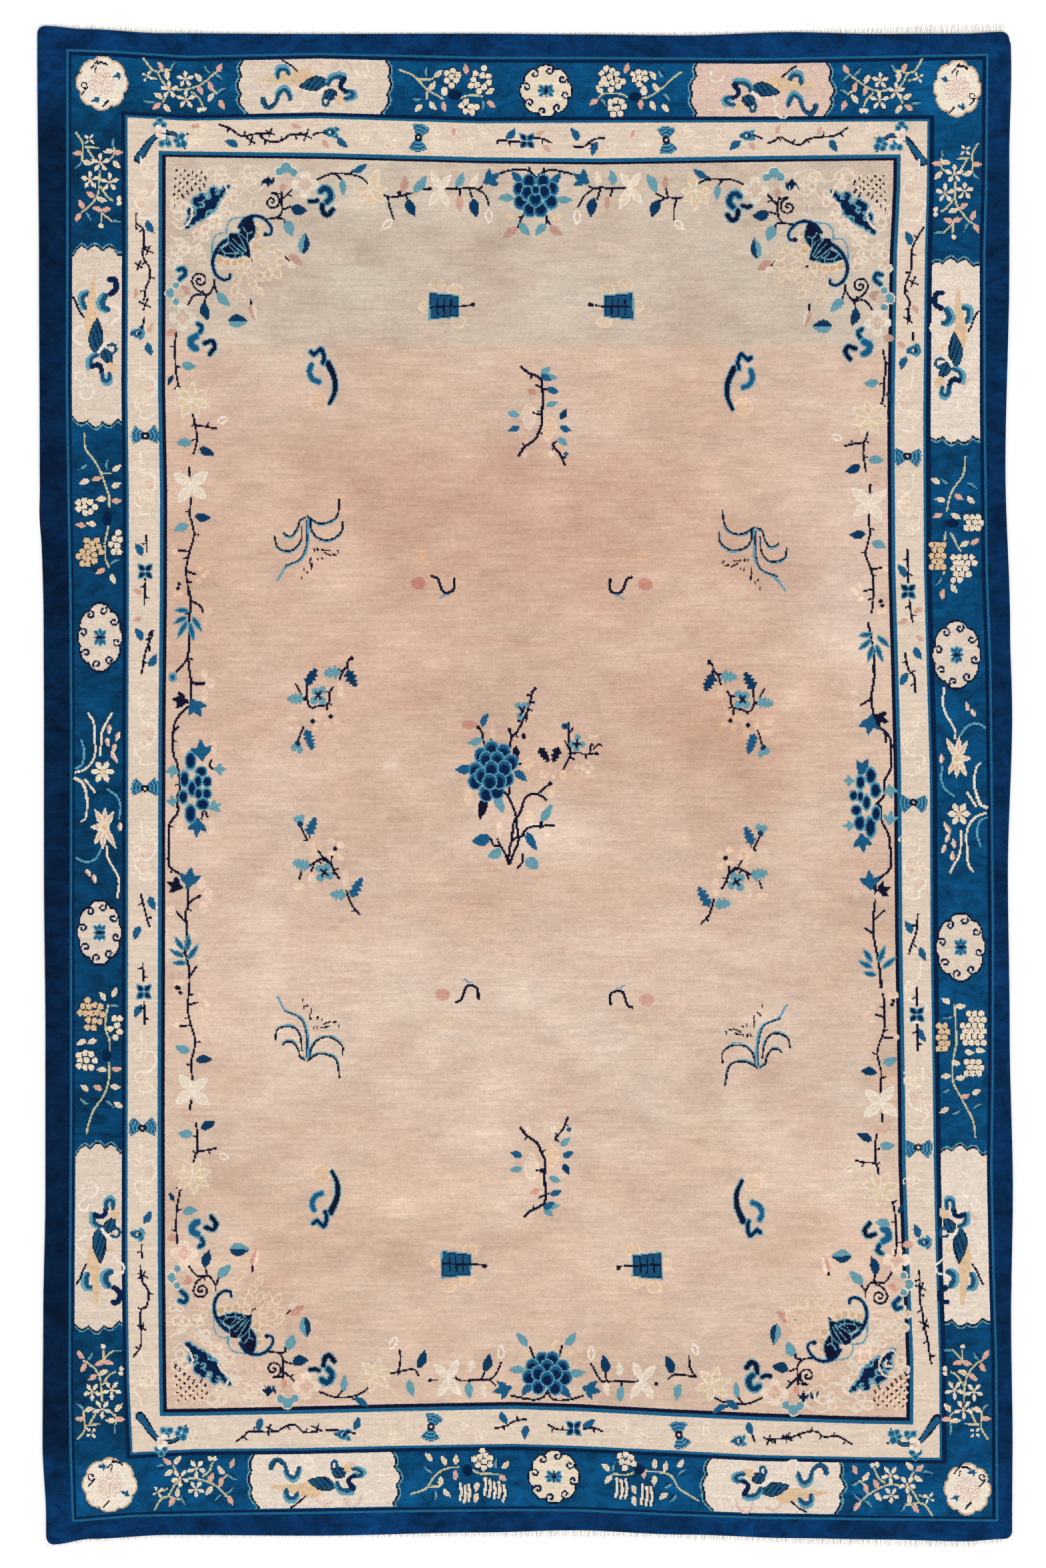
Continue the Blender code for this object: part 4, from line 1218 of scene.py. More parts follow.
repeated(sideVine, (2, 2364, 1, -1), (1589, 26, -1), (1606, 2382, -1, -1))


# The middle of a long side: bamboo, maple leaves and a peony
def leftPeony():
    each(disc, (307, 1010, 5, 9), (316, 1024, 7, 8), (307, 1041, 5, 11), (303, 1325, 6, 10),
        (312, 1340, 6, 10), (305, 1361, 6, 11), (256, 1365, 7, 8), rest=("paler", ("pale", 2.4)))
    each(disc, (276, 1119, 8, 9), (320, 1121, 6, 11), (270, 1239, 6, 11), (317, 1239, 6, 13),
        (312, 916, 6, 6), (308, 932, 4, 8), (301, 1437, 5, 5), (305, 1449, 5, 6), rest=("pale",))
    twig(9, (282.5, 880), (285, 891.5), (286.5, 901), (285.5, 914.4), (284, 926), (284.4, 941),
        (284, 956.5), (284, 972), (282.5, 987), (283.6, 1004), (286.9, 1021.6), (286.9, 1044.5),
        (285.9, 1056), (276.3, 1066.5), (263, 1081), (260, 1100), (260, 1130.6), (265, 1142),
        (268.3, 1157.4), (270, 1180), (266.5, 1195), (266.5, 1216.7), (255.3, 1234),
        (253.3, 1247.3), (253.3, 1292), (258.4, 1302.4), (270.6, 1310.6), (278, 1316),
        (281.8, 1334), (281.8, 1357.6), (278.8, 1369.8), (279.8, 1384), (279.8, 1406.5),
        (278.8, 1429), (282.9, 1449.4), (283.9, 1466), width=3.8)
    stems(3.4, "ink", [(287.8, 901), (295.5, 905), (301.2, 910.6), (304, 918.3)],
        [(282, 985.2), (275.4, 996.7), (263.9, 1008.2)],
        [(317.5, 1139), (313.7, 1148), (319.4, 1152.6)], [(305.3, 1211), (310.4, 1224)],
        [(305, 1218), (303, 1228)], [(260, 1100), (268, 1090)],
        [(281.8, 1357.6), (289, 1348.4), (298.2, 1344.3)],
        [(279.8, 1384), (272.7, 1376), (265.5, 1367)], [(295, 1449.4), (283.9, 1465.7)])
    stem([(287.8, 1022.5), (295.5, 1025.4), (305, 1025.4)], 5.0)
    buds(3.2, "ink", (298.5, 1344), (265.5, 1480.4))
    disc(259, 1015.4, 6.5, 8, "teal", ("mid", 3.0))
    bamboo((272.5, 915.4, 180, 24), (270.6, 929.7, 152, 25), (273.5, 944.1, 120, 34),
        (287.8, 948, 78, 32), (296, 936.4, 56, 30), (268.6, 1414.3, 236, 27),
        (265.5, 1429.4, 207, 26), (268.6, 1443.7, 180, 24), (282.2, 1412.7, -84, 29),
        (290, 1427, -56, 31))
    each(maple, (270, 1050, 190, 27, "ink"), (294.5, 1061.7, 62, 32, "mid"),
        (302, 1124.9, -95, 34, "mid"), (330, 1153.6, 0, 20, "teal"), (259, 1157, 100, 22, "teal"),
        (258.5, 1200.4, 262, 19, "teal"), (323.7, 1208.6, -25, 22, "teal"),
        (296, 1241, 96, 30, "mid"), (284.5, 1316, -82, 34, "mid"), (262, 1327, 200, 27, "ink"))
    petals(((286, 1141, 9, 15), (302, 1157, 10, 9), (311, 1172, 8, 9), (277, 1168, 8, 14),
        (310, 1190, 8, 9), (275, 1195, 8, 12), (304, 1206, 11, 10), (286, 1220, 9.5, 16),
        (297, 1172, 7, 12), (288, 1182, 7, 14), (298, 1190, 7, 10)), lean=(0.0, 0.0))


def rightPeony():
    stems(3.8, "ink", [(1301, 935), (1308, 970), (1310, 1010), (1307.8, 1030), (1305.7, 1048.4),
        (1307.8, 1066.7), (1312.9, 1088.2), (1324, 1095.3), (1334.3, 1109.6), (1336.3, 1132),
        (1334.3, 1152.4), (1326, 1170.8), (1324, 1193.3), (1313.9, 1204.5)],
        [(1313.9, 1203.5), (1320, 1211.6), (1322, 1232), (1328.2, 1244.3), (1333.3, 1260.6),
        (1335.3, 1293.3), (1329.2, 1307.6), (1311.8, 1325.9), (1312, 1350), (1308, 1385),
        (1312, 1420), (1318, 1450), (1320, 1480)])
    stems(3.4, "ink", [(1305.7, 1048.4), (1288.4, 1057.6)], [(1325, 1095.3), (1328, 1112.7)],
        [(1310, 1380), (1324, 1366)], [(1309, 1400), (1296, 1392)])
    bamboo((1297, 952, 172, 24), (1296, 967, 142, 27), (1304, 981, 108, 32), (1318, 980, 70, 31),
        (1324, 962, 42, 28), (1300, 1432, 236, 27), (1297, 1446, 207, 26), (1322, 1430, -70, 30),
        (1333, 1443, -40, 28), (1303, 1460, 190, 22))
    each(maple, (1303.5, 1087, 100, 32, "mid"), (1320, 1078, 25, 27, "ink"),
        (1294.5, 1150.4, -62, 30, "mid"), (1272, 1171, 180, 18, "teal"),
        (1334.3, 1187, 80, 24, "teal"), (1334.3, 1226, -80, 24, "teal"),
        (1292.4, 1264, 82, 30, "mid"), (1272, 1238, 180, 18, "teal"),
        (1303.7, 1319.8, -95, 32, "mid"), (1324, 1334, -20, 26, "ink"))
    petals(((1304.7, 1163, 9, 14), (1289.4, 1173, 8, 12), (1312, 1185, 9, 13), (1279.2, 1193, 7, 9),
        (1304.7, 1240, 9, 18), (1288.4, 1234, 9, 13), (1313, 1220, 8, 13), (1283.3, 1214.7, 9, 9),
        (1289.4, 1194, 5.5, 10), (1298.6, 1203.5, 7, 13)), lean=(0.0, 0.0))
    each(disc, (1284, 1066, 6, 13), (1280, 1040, 7, 6), (1316, 1345, 5, 8), (1283, 1340, 6, 9),
        rest=("pale",))


leftPeony()
rightPeony()


# The figures strewn over the field

def orchid():
    for points in ([(509, 749), (506, 771.4), (496.7, 782), (478.4, 784.5), (461.4, 775)],
            [(513.7, 783), (512.4, 797.6), (496.7, 809.3), (478.4, 806.7), (467, 795), (465, 780)],
            [(424.8, 799), (430, 803), (439.2, 802.8), (447, 791), (449.7, 780.6), (457, 776)],
            [(412.3, 805.4), (415.7, 819.8), (428.7, 826.3), (441.8, 823.7), (451, 809.3),
            (453, 790)]):
        stem([(x, y + 2.2) for x, y in points], 2.6, "sky")
        stem(points, 2.8)
    stem([(461.4, 780), (461.4, 814.6), (452.3, 838), (428.7, 851), (416.2, 869.5)], 4.6, "sky",
        3.0)
    stem([(459.4, 780), (459.4, 814.6), (450.3, 838), (427.7, 849)], 2.4, "deep")
    stem([(456, 782), (455.5, 815), (445, 834), (426, 837)], 3.0, "blush")
    for x, y, ox, oy in ((470, 823, 2, 3), (476, 822, 0, 4), (482, 824, 12, 2), (486, 829, 10, 4),
            (500, 832, 4, 1), (507, 826, 1, 3), (466, 836, -1, 8), (467, 845, 0, 8),
            (476, 837, 1, 3), (482, 836, 1, 2), (456, 853, 1, 3), (460, 857, 1, 2),
            (453, 865, 0, 3)):
        stem([(x, y), (x + ox, y + oy)], 2.4)


repeated(orchid, (1592, 16, -1), (0, 2365, 1, -1), (1596, 2376, -1, -1))


# A horn with a cloud band and a coin
def horn():
    disc(478, 603, 15, 14, "ochrePale", ("ochre", 2.6))
    body = [(492, 545), (501, 566), (502, 587), (494, 606)]
    stem(body, 12.0, "sky", 8.0, 0.0)
    stem(body, 9.0, "ink", 5.0, 0.0)
    ribbon([(466, 528), (471, 532), (477, 527), (482, 524), (486, 536), (484, 545)], 5.5, "navy",
        rim=1.8)
    ribbon([(467, 548), (464, 558), (469, 569), (478, 573)], 6.5, "mid", rim=1.8)


repeated(horn, (1592, 8, -1), (4, 2362, 1, -1), (1606, 2376, -1, -1))


# A ribbed shape with a handle, over a pale flower
def comb():
    each(disc, (682, 435), (687, 483), (640, 461), (655, 427),
        rest=(12, 10, "ochrePale", ("ochre", 2.4)))
    area, dx, dy = around(666, 461, 32)
    half = 15.5 - 0.10 * dx
    depth = np.minimum(np.minimum(dx + 21.0, 21.0 - dx), np.minimum(dy + half + 3, half - dy))
    paint(area, depth, ("sky", -2.0), "navy", ("wing", 1.6))
    for x in (656, 666, 676):
        stem([(x, 449), (x, 473)], 2.2, "ink")
    stem([(646, 461), (700, 459), (706, 457)], 3.0, "ink")
    disc(709, 457, 3.6, 3.6, "ink")


repeated(comb, (1593, 0, -1), (18, 2355, 1, -1), (1636, 2357, -1, -1))


# A branch of blossom upright in the field
def sprig():
    each(leaf, (793, 626, 90, 44, 24, "paler", ("pale", 3.0)),
        (822, 644, 95, 40, 26, "ochrePale", ("ochre", 3.0)))
    twig(5, (782, 550), (793, 560), (806, 566), (813, 575), (812.5, 619.5), (812, 636), (806, 651),
        (802.5, 659), (786, 671), (777, 684), width=4.0)
    twig(2, (834, 663), (829, 668), (839, 681), (847, 698), width=3.6)
    stems(3.0, "ink", [(804, 578), (812, 582)], [(799, 620), (812, 622)])
    for x, y, turn, dye in ((818, 556.5, -40, "teal"), (826, 566, 10, "teal"),
            (819, 567, 30, "mid"), (829, 586, 20, "mid"), (828, 606, -20, "teal"),
            (845, 621, -60, "deep"), (848, 643.5, 20, "mid"), (844, 663, 40, "teal"),
            (769, 621, 190, "teal"), (770, 643.5, 160, "mid")):
        leaf(x, y, turn, 19, 10, dye)
    leaf(797, 588, 200, 16, 9, "rosy")
    disc(849, 681, 3.4, 3.4, "mid")
    buds(5, "paler", (788, 682), (826, 681))
    disc(788, 661, 4, 4, "ochre")


repeated(sprig, (4, 2374, 1, -1))


def birdBits():
    each(disc, (633, 833, 9, 8, "ochre"), (627.5, 875, 11, 9, "rosy"))
    stem([(648, 864), (656, 868), (662, 885), (670, 889), (680, 884), (681, 868)], 4.0)
    stem([(660, 897), (666, 893), (672, 893)], 2.6, "sky")


repeated(birdBits, (1595, 1, -1), (36, 2366, 1, -1), (1596, 2374, -1, -1))


# A leaf whose edge is cut into teeth that slant to its tip
def jagged(x, y, angle, length, width, dye, teeth):
    area, dx, dy = around(x, y, length / 2.0 + width)
    turn = np.radians(angle)
    run = (dx * np.cos(turn) + dy * np.sin(turn)) / length + 0.5
    off = np.abs(dy * np.cos(turn) - dx * np.sin(turn))
    share = np.clip(run, 0.0, 1.0)
    saw = (share * teeth - off / width * 1.6) % 1.0
    half = width / 2.0 * np.sin(np.pi * share ** 0.7) ** 0.5 * (1.12 - 0.62 * saw)
    over = length * np.maximum(np.maximum(-run, run - 1.0), 0.0)
    paint(area, half - off - over, dye)


# Petals at their own places about a dark heart
def pansy(x, y, offsets, size=6.0):
    for ox, oy in offsets:
        buds(size, "teal", (x + ox, y + oy))
        leaf(x + 0.5 * ox, y + 0.5 * oy, np.degrees(np.arctan2(oy, ox)), 9, 4.4, "deep")
    disc(x, y, 3.2, 3.2, "ink")


# A forked bud: two pale tips on a dark joint
def fork(x, y, tips):
    for tx, ty in tips:
        angle = np.degrees(np.arctan2(ty - y, tx - x))
        leaf((x + tx) / 2.0, (y + ty) / 2.0, angle, 17, 6.0, "deep")
        disc(tx, ty, 4.4, 5.6, "teal")


def highArc():
    each(disc, (510, 1033, 6, 12), (477, 1073, 6, 8), (474, 1088, 5, 9), (438, 1077, 8, 5),
        (442, 1093, 9, 6), (457, 1082, 5, 6), rest=("pale",))
    each(disc, (499.6, 1064.7), (504.7, 1080.5), (490.4, 1086), (486, 1069.8), (472, 1092),
        rest=(5.2, 5.4, "ochrePale"))
    stem([(460.8, 1028), (460.3, 1046.3), (463.9, 1058.6), (469, 1062)], 3.2)
    twig(1, (469, 1063), (477, 1059), (490.4, 1055.5), (494.5, 1045.3), (495, 1038.2), (500, 1031))
    stem([(490.4, 1055.5), (490.4, 1064.7)], 3.2)
    stem([(488.4, 1037.7), (494, 1037.7)], 2.8)
    stem([(443.5, 1026.4), (448, 1033), (452, 1041.2)], 3.0)
    stems(3.4, "ink", [(508.8, 1004.5), (514.9, 1005), (520.5, 998.4), (522, 991.2), (528.2, 986)],
        [(514.9, 1005.5), (509.8, 1019.3)])
    stem([(521, 998), (521.5, 1006)], 3.2)
    buds(3.4, "ink", (469, 1081), (495.5, 1074.4), (527, 987), (457, 1048))
    each(jagged, (467, 1014.7, -59, 29, 17, "deep", 4), (443, 1047.9, 178, 25, 18, "teal", 4),
        (497.6, 1008.6, 176, 25, 20, "teal", 3), (527, 1017.8, 62, 28, 18, "deep", 4),
        (464, 1109.6, 72, 32, 16, "mid", 5))
    pansy(477, 1042.8, ((-4.4, -6), (6.4, -8), (-6, 7.5), (6, 7.5)))
    stem([(454.7, 1090.2), (450.6, 1101.4), (447, 1110.6)], 3.2)
    fork(446.5, 1112, ((441, 1121), (449.6, 1124)))


def lowArc():
    each(disc, (445, 1264, 9, 7), (439, 1271, 4, 7), (467.7, 1321, 6, 13), (517.6, 1316, 6, 14),
        (464, 1266, 5, 6), rest=("pale",))
    each(disc, (497, 1261), (510, 1266.4), (497, 1279.4), (510, 1284.8), (475, 1262), (477, 1270),
        (470, 1270), (473, 1280), (444, 1329), (452, 1329), rest=(5.6, 5.8, "ochrePale"))
    disc(476, 1268, 4, 5, "ochre")
    stem([(451.5, 1241), (455, 1249), (461.2, 1259.3)], 3.2)
    stem([(461.2, 1259.3), (457.4, 1261)], 2.8)
    stem([(464.2, 1252), (464.2, 1256)], 2.6)
    twig(2, (463.4, 1297.9), (469.9, 1294.6), (478.6, 1289.2), (486.2, 1287), (494.8, 1293.5),
        (498, 1296.8), (501.3, 1305.4), (507.9, 1317.4), width=3.6)
    stem([(482.9, 1288), (489, 1290), (496, 1295)], 4.6)
    stems(3.2, "ink", [(477.5, 1275.6), (482.9, 1284)], [(497.5, 1284.3), (497.5, 1293.5)],
        [(452.5, 1306.5), (448.7, 1317.4)], [(471, 1295.7), (467.2, 1305.4)],
        [(495.9, 1309.2), (502.4, 1309.2)])
    buds(3.6, "ink", (502.4, 1272.4))
    each(jagged, (467.7, 1238.7, -68, 29, 16, "mid", 4), (451.5, 1296.2, 195, 26, 19, "teal", 4),
        (506.8, 1341.2, 182, 24, 18, "teal", 3), (535, 1330.4, -62, 34, 16, "mid", 4))
    pansy(486.2, 1308.7, ((-7, -6.5), (4.3, -8.7), (-5.5, 7), (7.6, 4.3)))
    fork(451, 1239.3, ((445, 1228), (453, 1226.5)))
    stem([(519.8, 1335.3), (523, 1344.5), (528.5, 1358.6), (538.2, 1370.5)], 3.4)
    stem([(528, 1366), (532, 1365)], 3.0)


repeated(highArc, (1590, 6, -1))
repeated(lowArc, (1590, 14, -1))


def centralPlant():
    disc(704.5, 1086.7, 12, 6, "rosy")
    each(disc, (739, 1097, 5, 12), (702, 1193, 8, 14), (749, 1243, 5.5, 13), (794, 1226, 7, 12),
        (820, 1248, 6, 10), (826, 1190, 6, 7), rest=("pale", ("ochrePale", 2.6)))
    for x, y, r in ((791, 1145, 9), (816, 1161, 7), (844, 1162, 6), (830, 1164, 4)):
        disc(x, y, r, r, "ochrePale", ("ochre", 3.0))
    buds(4.4, "paler", (874, 1150), (887, 1150), (881, 1143), (881, 1157), (864, 1150), (886, 1105),
        (893, 1105))
    twig(5, (802.4, 1031.6), (797.3, 1038.8), (795.3, 1051), (792.2, 1059), (790, 1069),
        (784, 1078.6), (780, 1087.8), (775, 1098), (768, 1106), (763.7, 1120), (763.7, 1131),
        width=3.6)
    buds(2.6, "ink", (802, 1033), (798, 1038))
    stems(3.4, "ink", [(763.7, 1094), (767.8, 1106)], [(790, 1069), (789, 1080.6)],
        [(795.3, 1052), (800.4, 1053.5)], [(716.7, 1090.8), (721.8, 1098), (723.9, 1109.2),
        (731, 1120.4)], [(736.7, 1110), (736.7, 1117)], [(776, 1146), (781, 1145.3)],
        [(763.7, 1177), (763.7, 1190)], [(753.5, 1185.7), (762, 1192)])
    buds(3.0, "ink", (763.5, 1094), (717, 1091))
    disc(785, 1104, 3.4, 4.8, "ink")
    pansy(783, 1066, ((-6, -8), (4.5, -9), (-3, 8)), 5.0)
    leaf(728, 1079.6, -65, 24, 10, "mid", bend=-0.2)
    leaf(711.6, 1111.2, 163, 25, 11, "teal", bend=-0.15)
    leaf(695, 1152, 172, 27, 14, "mid", bend=-0.12)
    leaf(780, 1164.3, 38, 25, 12, "mid", bend=-0.15)
    each(leaf, (773.9, 1129.6, 84, 23, 10, "ink"), (748.4, 1205, 66, 32, 14, "teal"),
        (722.9, 1212, 103, 36, 14, "ink"))
    petals(((721.8, 1132.7), (737, 1123), (754.5, 1127.6), (766, 1143), (713, 1155), (712.5, 1172),
        (759.5, 1167.5), (729, 1190), (745.3, 1186), (729, 1139), (745.3, 1139), (756, 1152),
        (723, 1163), (736.5, 1153), (748, 1171), (734, 1172)))
    twig(0, (755.5, 1188), (761.6, 1193), (769.8, 1212.2), (773.9, 1226.5), (775.9, 1244.9),
        (776.9, 1259.2), (771.8, 1275.5), (764.7, 1295), width=3.8)
    stems(3.8, "ink", [(773.9, 1226.5), (768.8, 1238.8), (766.7, 1261.2), (763.7, 1275.5),
        (761.6, 1295)], [(773.9, 1226.5), (780, 1216.3), (786, 1200), (794.3, 1191.8),
        (802.4, 1189.8), (810.6, 1192.9), (818.8, 1199)])
    stem([(806.5, 1189.8), (814.7, 1183.7), (824.9, 1174.5)], 3.4)
    buds(3.4, "ink", (825, 1175))
    twig(2, (767.8, 1261.2), (773.9, 1256), (782, 1254), (788.2, 1243.9), (796.3, 1239.8),
        (808.6, 1239.8), (818.8, 1237.8), (831, 1236.7), width=3.6)
    stem([(810.6, 1240.8), (809, 1232.7)], 3.2)
    stem([(761.6, 1292), (755.5, 1277.6), (750.4, 1269.4), (741.2, 1267.3), (736, 1258.2),
        (733, 1257)], 3.6)
    stem([(750.4, 1269.4), (746.3, 1258.2)], 3.2)
    stem([(776, 1301), (784, 1291.8), (783, 1281.6)], 3.6)
    leaf(818.8, 1218.4, -58, 31, 13, "teal", bend=0.1)
    leaf(797.3, 1261.2, 62, 31, 13, "mid", bend=0.1)
    leaf(720.8, 1258.2, 163, 29, 18, "mid", bend=-0.1)
    leaf(741.2, 1279.6, 155, 24, 15, "teal", bend=-0.1)
    leaf(797.3, 1295.9, 33, 25, 17, "teal", bend=-0.1)
    twig(0, (852.4, 1084.7), (852.4, 1102), (853.5, 1122.4), (853.5, 1134.7), (845.3, 1152),
        width=3.6)
    disc(847.3, 1088.8, 5.5, 5, "mid", ("navy", 2.4))
    stems(3.0, "ink", [(858.6, 1091.8), (853.5, 1098)], [(847.3, 1111.2), (852.4, 1122.4)],
        [(853.5, 1130.6), (867.8, 1128.6), (875.9, 1130.6), (894.3, 1129.6)],
        [(855.5, 1135.7), (860.6, 1138.8)], [(878, 1130.6), (879, 1138)],
        [(884, 1127.6), (886, 1116.3), (890, 1117)],
        [(889, 1123), (896.3, 1116.3), (901.4, 1117.5)])
    buds(3.2, "ink", (894.3, 1130))
    pansy(864.7, 1115.3, ((1, -9), (-7, 0), (8, 0.6), (-0.6, 8)), 4.8)
    each(jagged, (815.7, 1131.6, 55, 26, 14, "ink", 4), (833, 1131.6, 110, 24, 15, "ink", 3))


centralPlant()


# The vine along the top of the field
def topVine():
    lily(554.8, 285, ((567.8, 253.7), (528.8, 284), (581.9, 284), (537.5, 303.6), (558, 315.5),
        (578.7, 303.6)))
    twig(0, (575.4, 292.7), (584, 296), (601.4, 295), (610, 291.6), (617.7, 290))
    stems(3.2, "ink", [(598.2, 289), (598.8, 294)],
        [(581.9, 295), (584, 310), (586.2, 316.6), (589.5, 328.5)], [(609, 295), (612.3, 301.4)])
    stem([(632.9, 284), (644.8, 284)], 3.4)
    buds(3.2, "ink", (644.5, 284), (598.5, 290))
    lily(660.6, 284, ((645.9, 259), (676.2, 262.4), (642.6, 309), (671.9, 312.2)), "milkYarn",
        "creamYarn", 0.42)
    stem([(668.6, 284), (683.8, 283.6), (705.5, 283), (716.3, 284), (722.8, 279.7)], 3.4)
    stems(3.2, "ink", [(683.8, 280), (684, 284)], [(689.2, 285), (690, 292.7)],
        [(703.3, 283), (707.7, 296)], [(715.3, 284), (727.2, 292.7), (732.6, 308)],
        [(793.8, 252.6), (793.8, 257)], [(815.3, 253), (815.3, 258)],
        [(786.8, 317.6), (780.3, 329.6), (776, 341.5)], [(782, 326), (777, 325)],
        [(770, 299), (774, 298)], [(836, 299), (831, 297)],
        [(816.3, 317.2), (819.5, 326.7), (819.5, 335)], [(820.5, 331), (825.8, 338.3)])
    stems(3.4, "ink", [(748.9, 261.3), (770.5, 254.8), (787.9, 255.4), (800.9, 263.4), (804, 269)],
        [(804, 269), (809.6, 261.3), (822.6, 256.2), (835.3, 256.2), (850, 259.4), (860.5, 263)])
    each(maple, (737, 268, -30, 30, "mid"), (871, 268, -150, 30, "mid"))
    leaves("rosy", 25, 12, (605.3, 276.4, -78), (690, 305.7, 90), (765, 350, 145),
        (834.2, 346.7, 40))
    leaves("rosy", 20, 9, (910.6, 305.7, 95), (996.7, 274, -85))
    leaves("teal", 31, 14, (629.6, 276.4, -54), (976.3, 275, -117))
    leaves("teal", 24, 12, (689.2, 270, -65), (786.8, 343.7, 52), (810.7, 344.7, 130),
        (917.3, 266.7, -98), (758.6, 298, 180), (846.8, 299.3, 3))
    leaves("deep", 29, 15, (617, 312.2, 66), (712.7, 312.2, 80), (888, 312, 100), (982.6, 314, 112))
    leaves("mid", 24, 12, (773.8, 266.7, -127), (832.1, 268.8, -50))
    leaves("creamYarn", 24, 11, (710.5, 271, -63), (895.2, 267.8, -95))
    leaves("strawYarn", 17, 11, (764, 325.2, 200), (835.3, 325.7, -20))
    each(hangingBud, (579.7, 338.2, 137), (732.6, 325.2, 90), (865.1, 326.7, 90),
        (1018.4, 338.3, 42, 21, 12))
    petals(((779, 284), (827, 284), (780.3, 303.6), (826, 303.6), (794, 315.5), (810.5, 315.5),
        (793, 273), (814, 273), (791, 290.5), (815, 289), (802.5, 300), (803, 286, 7, 8)), 11.0,
        12.0, (0.0, -1.5))
    stem([(882.6, 279.4), (890, 283.6), (900.5, 282.5), (919.4, 282.5), (936.3, 282.5)], 3.4)
    stems(3.2, "ink", [(890, 283.6), (875.2, 295), (866.8, 311)], [(900.5, 283.6), (895.2, 299.3)],
        [(918.4, 283.6), (914.2, 295)], [(983.6, 292), (996.3, 297.2)],
        [(998.4, 284.6), (1001.5, 296.2)], [(1015.2, 298.3), (1010, 312), (1010.4, 330)])
    twig(0, (989, 301.5), (999.4, 297.7), (1014, 297.7), (1022.6, 296.2))
    lily(944.7, 282.5, ((930, 259.4), (960.5, 258.3), (928, 314), (962.6, 306.7)), "milkYarn",
        "creamYarn", 0.42)
    leaves("strawYarn", 20, 6, (957, 281, 0))
    lily(1042.6, 286.7, ((1033, 257.3), (1018.4, 286.7), (1069, 287.8), (1023.6, 302.5),
        (1041.5, 318.3), (1061.5, 307.8)))


# The vine along the bottom of the field
def bottomVine():
    around6 = np.radians(range(-75, 240, 60))
    for x, y in ((562.7, 2061.3), (1069.3, 2074.5)):
        lily(x, y, [(x + 29 * np.cos(turn), y + 28 * np.sin(turn)) for turn in around6])
    hangingBud(590, 2012, -60)
    stems(3.2, "ink", [(598.6, 2024), (601, 2037), (597, 2059)],
        [(587, 2058), (618, 2053), (628, 2062)], [(644.6, 2069), (655, 2068)],
        [(732.7, 2068), (743, 2076)], [(794, 2019.5), (801.5, 2037)], [(842, 2018), (837, 2038.7)],
        [(1001, 2067), (1012.7, 2060.6), (1040.4, 2063)],
        [(1032.8, 2031.6), (1035.3, 2053), (1043, 2064.4)], [(704, 2068), (704, 2075)],
        [(931, 2071), (931, 2080)], [(722, 2068), (727, 2056)], [(910, 2070), (906, 2056)])
    twig(0, (683, 2065.5), (692, 2069.3), (710, 2068), (732.7, 2068), (743, 2059), (752, 2042.5))
    twig(0, (886, 2045), (897, 2064), (906, 2070.6), (936.7, 2070.6), (957, 2070.6))
    stems(3.4, "ink", [(820.7, 2084.6), (814, 2093.5), (801.5, 2098), (783.7, 2096), (766, 2091)],
        [(820.7, 2084.6), (829.6, 2097), (855, 2098), (874, 2092)])
    lily(672.7, 2066.7, ((651, 2044), (687, 2037), (657, 2093.5), (690.5, 2092)), "milkYarn",
        "creamYarn", 0.42)
    lily(962, 2069.3, ((949.5, 2041), (982.7, 2046), (945.7, 2096), (978.8, 2097.4)), "milkYarn",
        "creamYarn", 0.42)
    buds(3.0, "ink", (984, 2074), (645, 2069))
    each(maple, (753, 2083, 165, 30, "mid"), (887, 2083, 15, 30, "mid"))
    leaves("deep", 29, 14, (632, 2037, -70), (730, 2042.5, -75), (906, 2045, -100),
        (1002.6, 2045.5, -110))
    leaves("mid", 24, 12, (790, 2083, 130), (848.7, 2086, 50), (1098.8, 2105, 35))
    leaves("teal", 26, 12, (616.6, 2081, 75), (704, 2084.6, 85), (781.6, 2007.6, -130),
        (855, 2006.8, -50), (774, 2054, 180), (865.3, 2057.3, 0), (931, 2089.7, 95),
        (1016.4, 2087, 100))
    leaves("creamYarn", 22, 11, (706, 2046, -75), (726, 2084.6, 80), (927.8, 2051.4, -95),
        (910, 2082, 80))
    leaves("strawYarn", 20, 10, (809, 2010.6, -110), (831, 2012, -70), (787.5, 2029.7, 200),
        (852.6, 2029.7, -20))
    each(hangingBud, (751, 2026, -90), (886, 2027, -90), (1041.6, 2021.6, -110, 21, 12))
    petals(((813, 2037), (828, 2037), (798, 2048), (843, 2049), (793, 2064), (847, 2065),
        (807, 2079), (832, 2080), (820, 2049), (807, 2058), (833, 2058), (820, 2067)), 11.0, 12.0)


topVine()
bottomVine()
print("chart:", int((chart > 0).sum()), "knots apart from the ground")


# Materials

def node(tree, kind, **settings):
    made = tree.nodes.new(kind)
    for name, value in settings.items():
        setattr(made, name, value)
    return made


# A Math node; each value is a number or a socket
def maths(tree, operation, *values):
    made = node(tree, "ShaderNodeMath", operation=operation)
    for socket, value in zip(made.inputs, values):
        if isinstance(value, (int, float)):
            socket.default_value = value
        else:
            tree.links.new(value, socket)
    return made.outputs[0]


def give(made, values):
    for name, value in values.items():
        made.inputs[name].default_value = value


# A value spread evenly from one range to another
def ranged(tree, value, low, high, fromLow=0.0, fromHigh=1.0):
    made = node(tree, "ShaderNodeMapRange")
    give(made, {"From Min": fromLow, "From Max": fromHigh, "To Min": low, "To Max": high})
    tree.links.new(value, made.inputs["Value"])
    return made.outputs["Result"]


def scaled(tree, vector, x, y):
    made = node(tree, "ShaderNodeVectorMath", operation="MULTIPLY")
    made.inputs[1].default_value = (x, y, 1.0)
    tree.links.new(vector, made.inputs[0])
    return made.outputs[0]


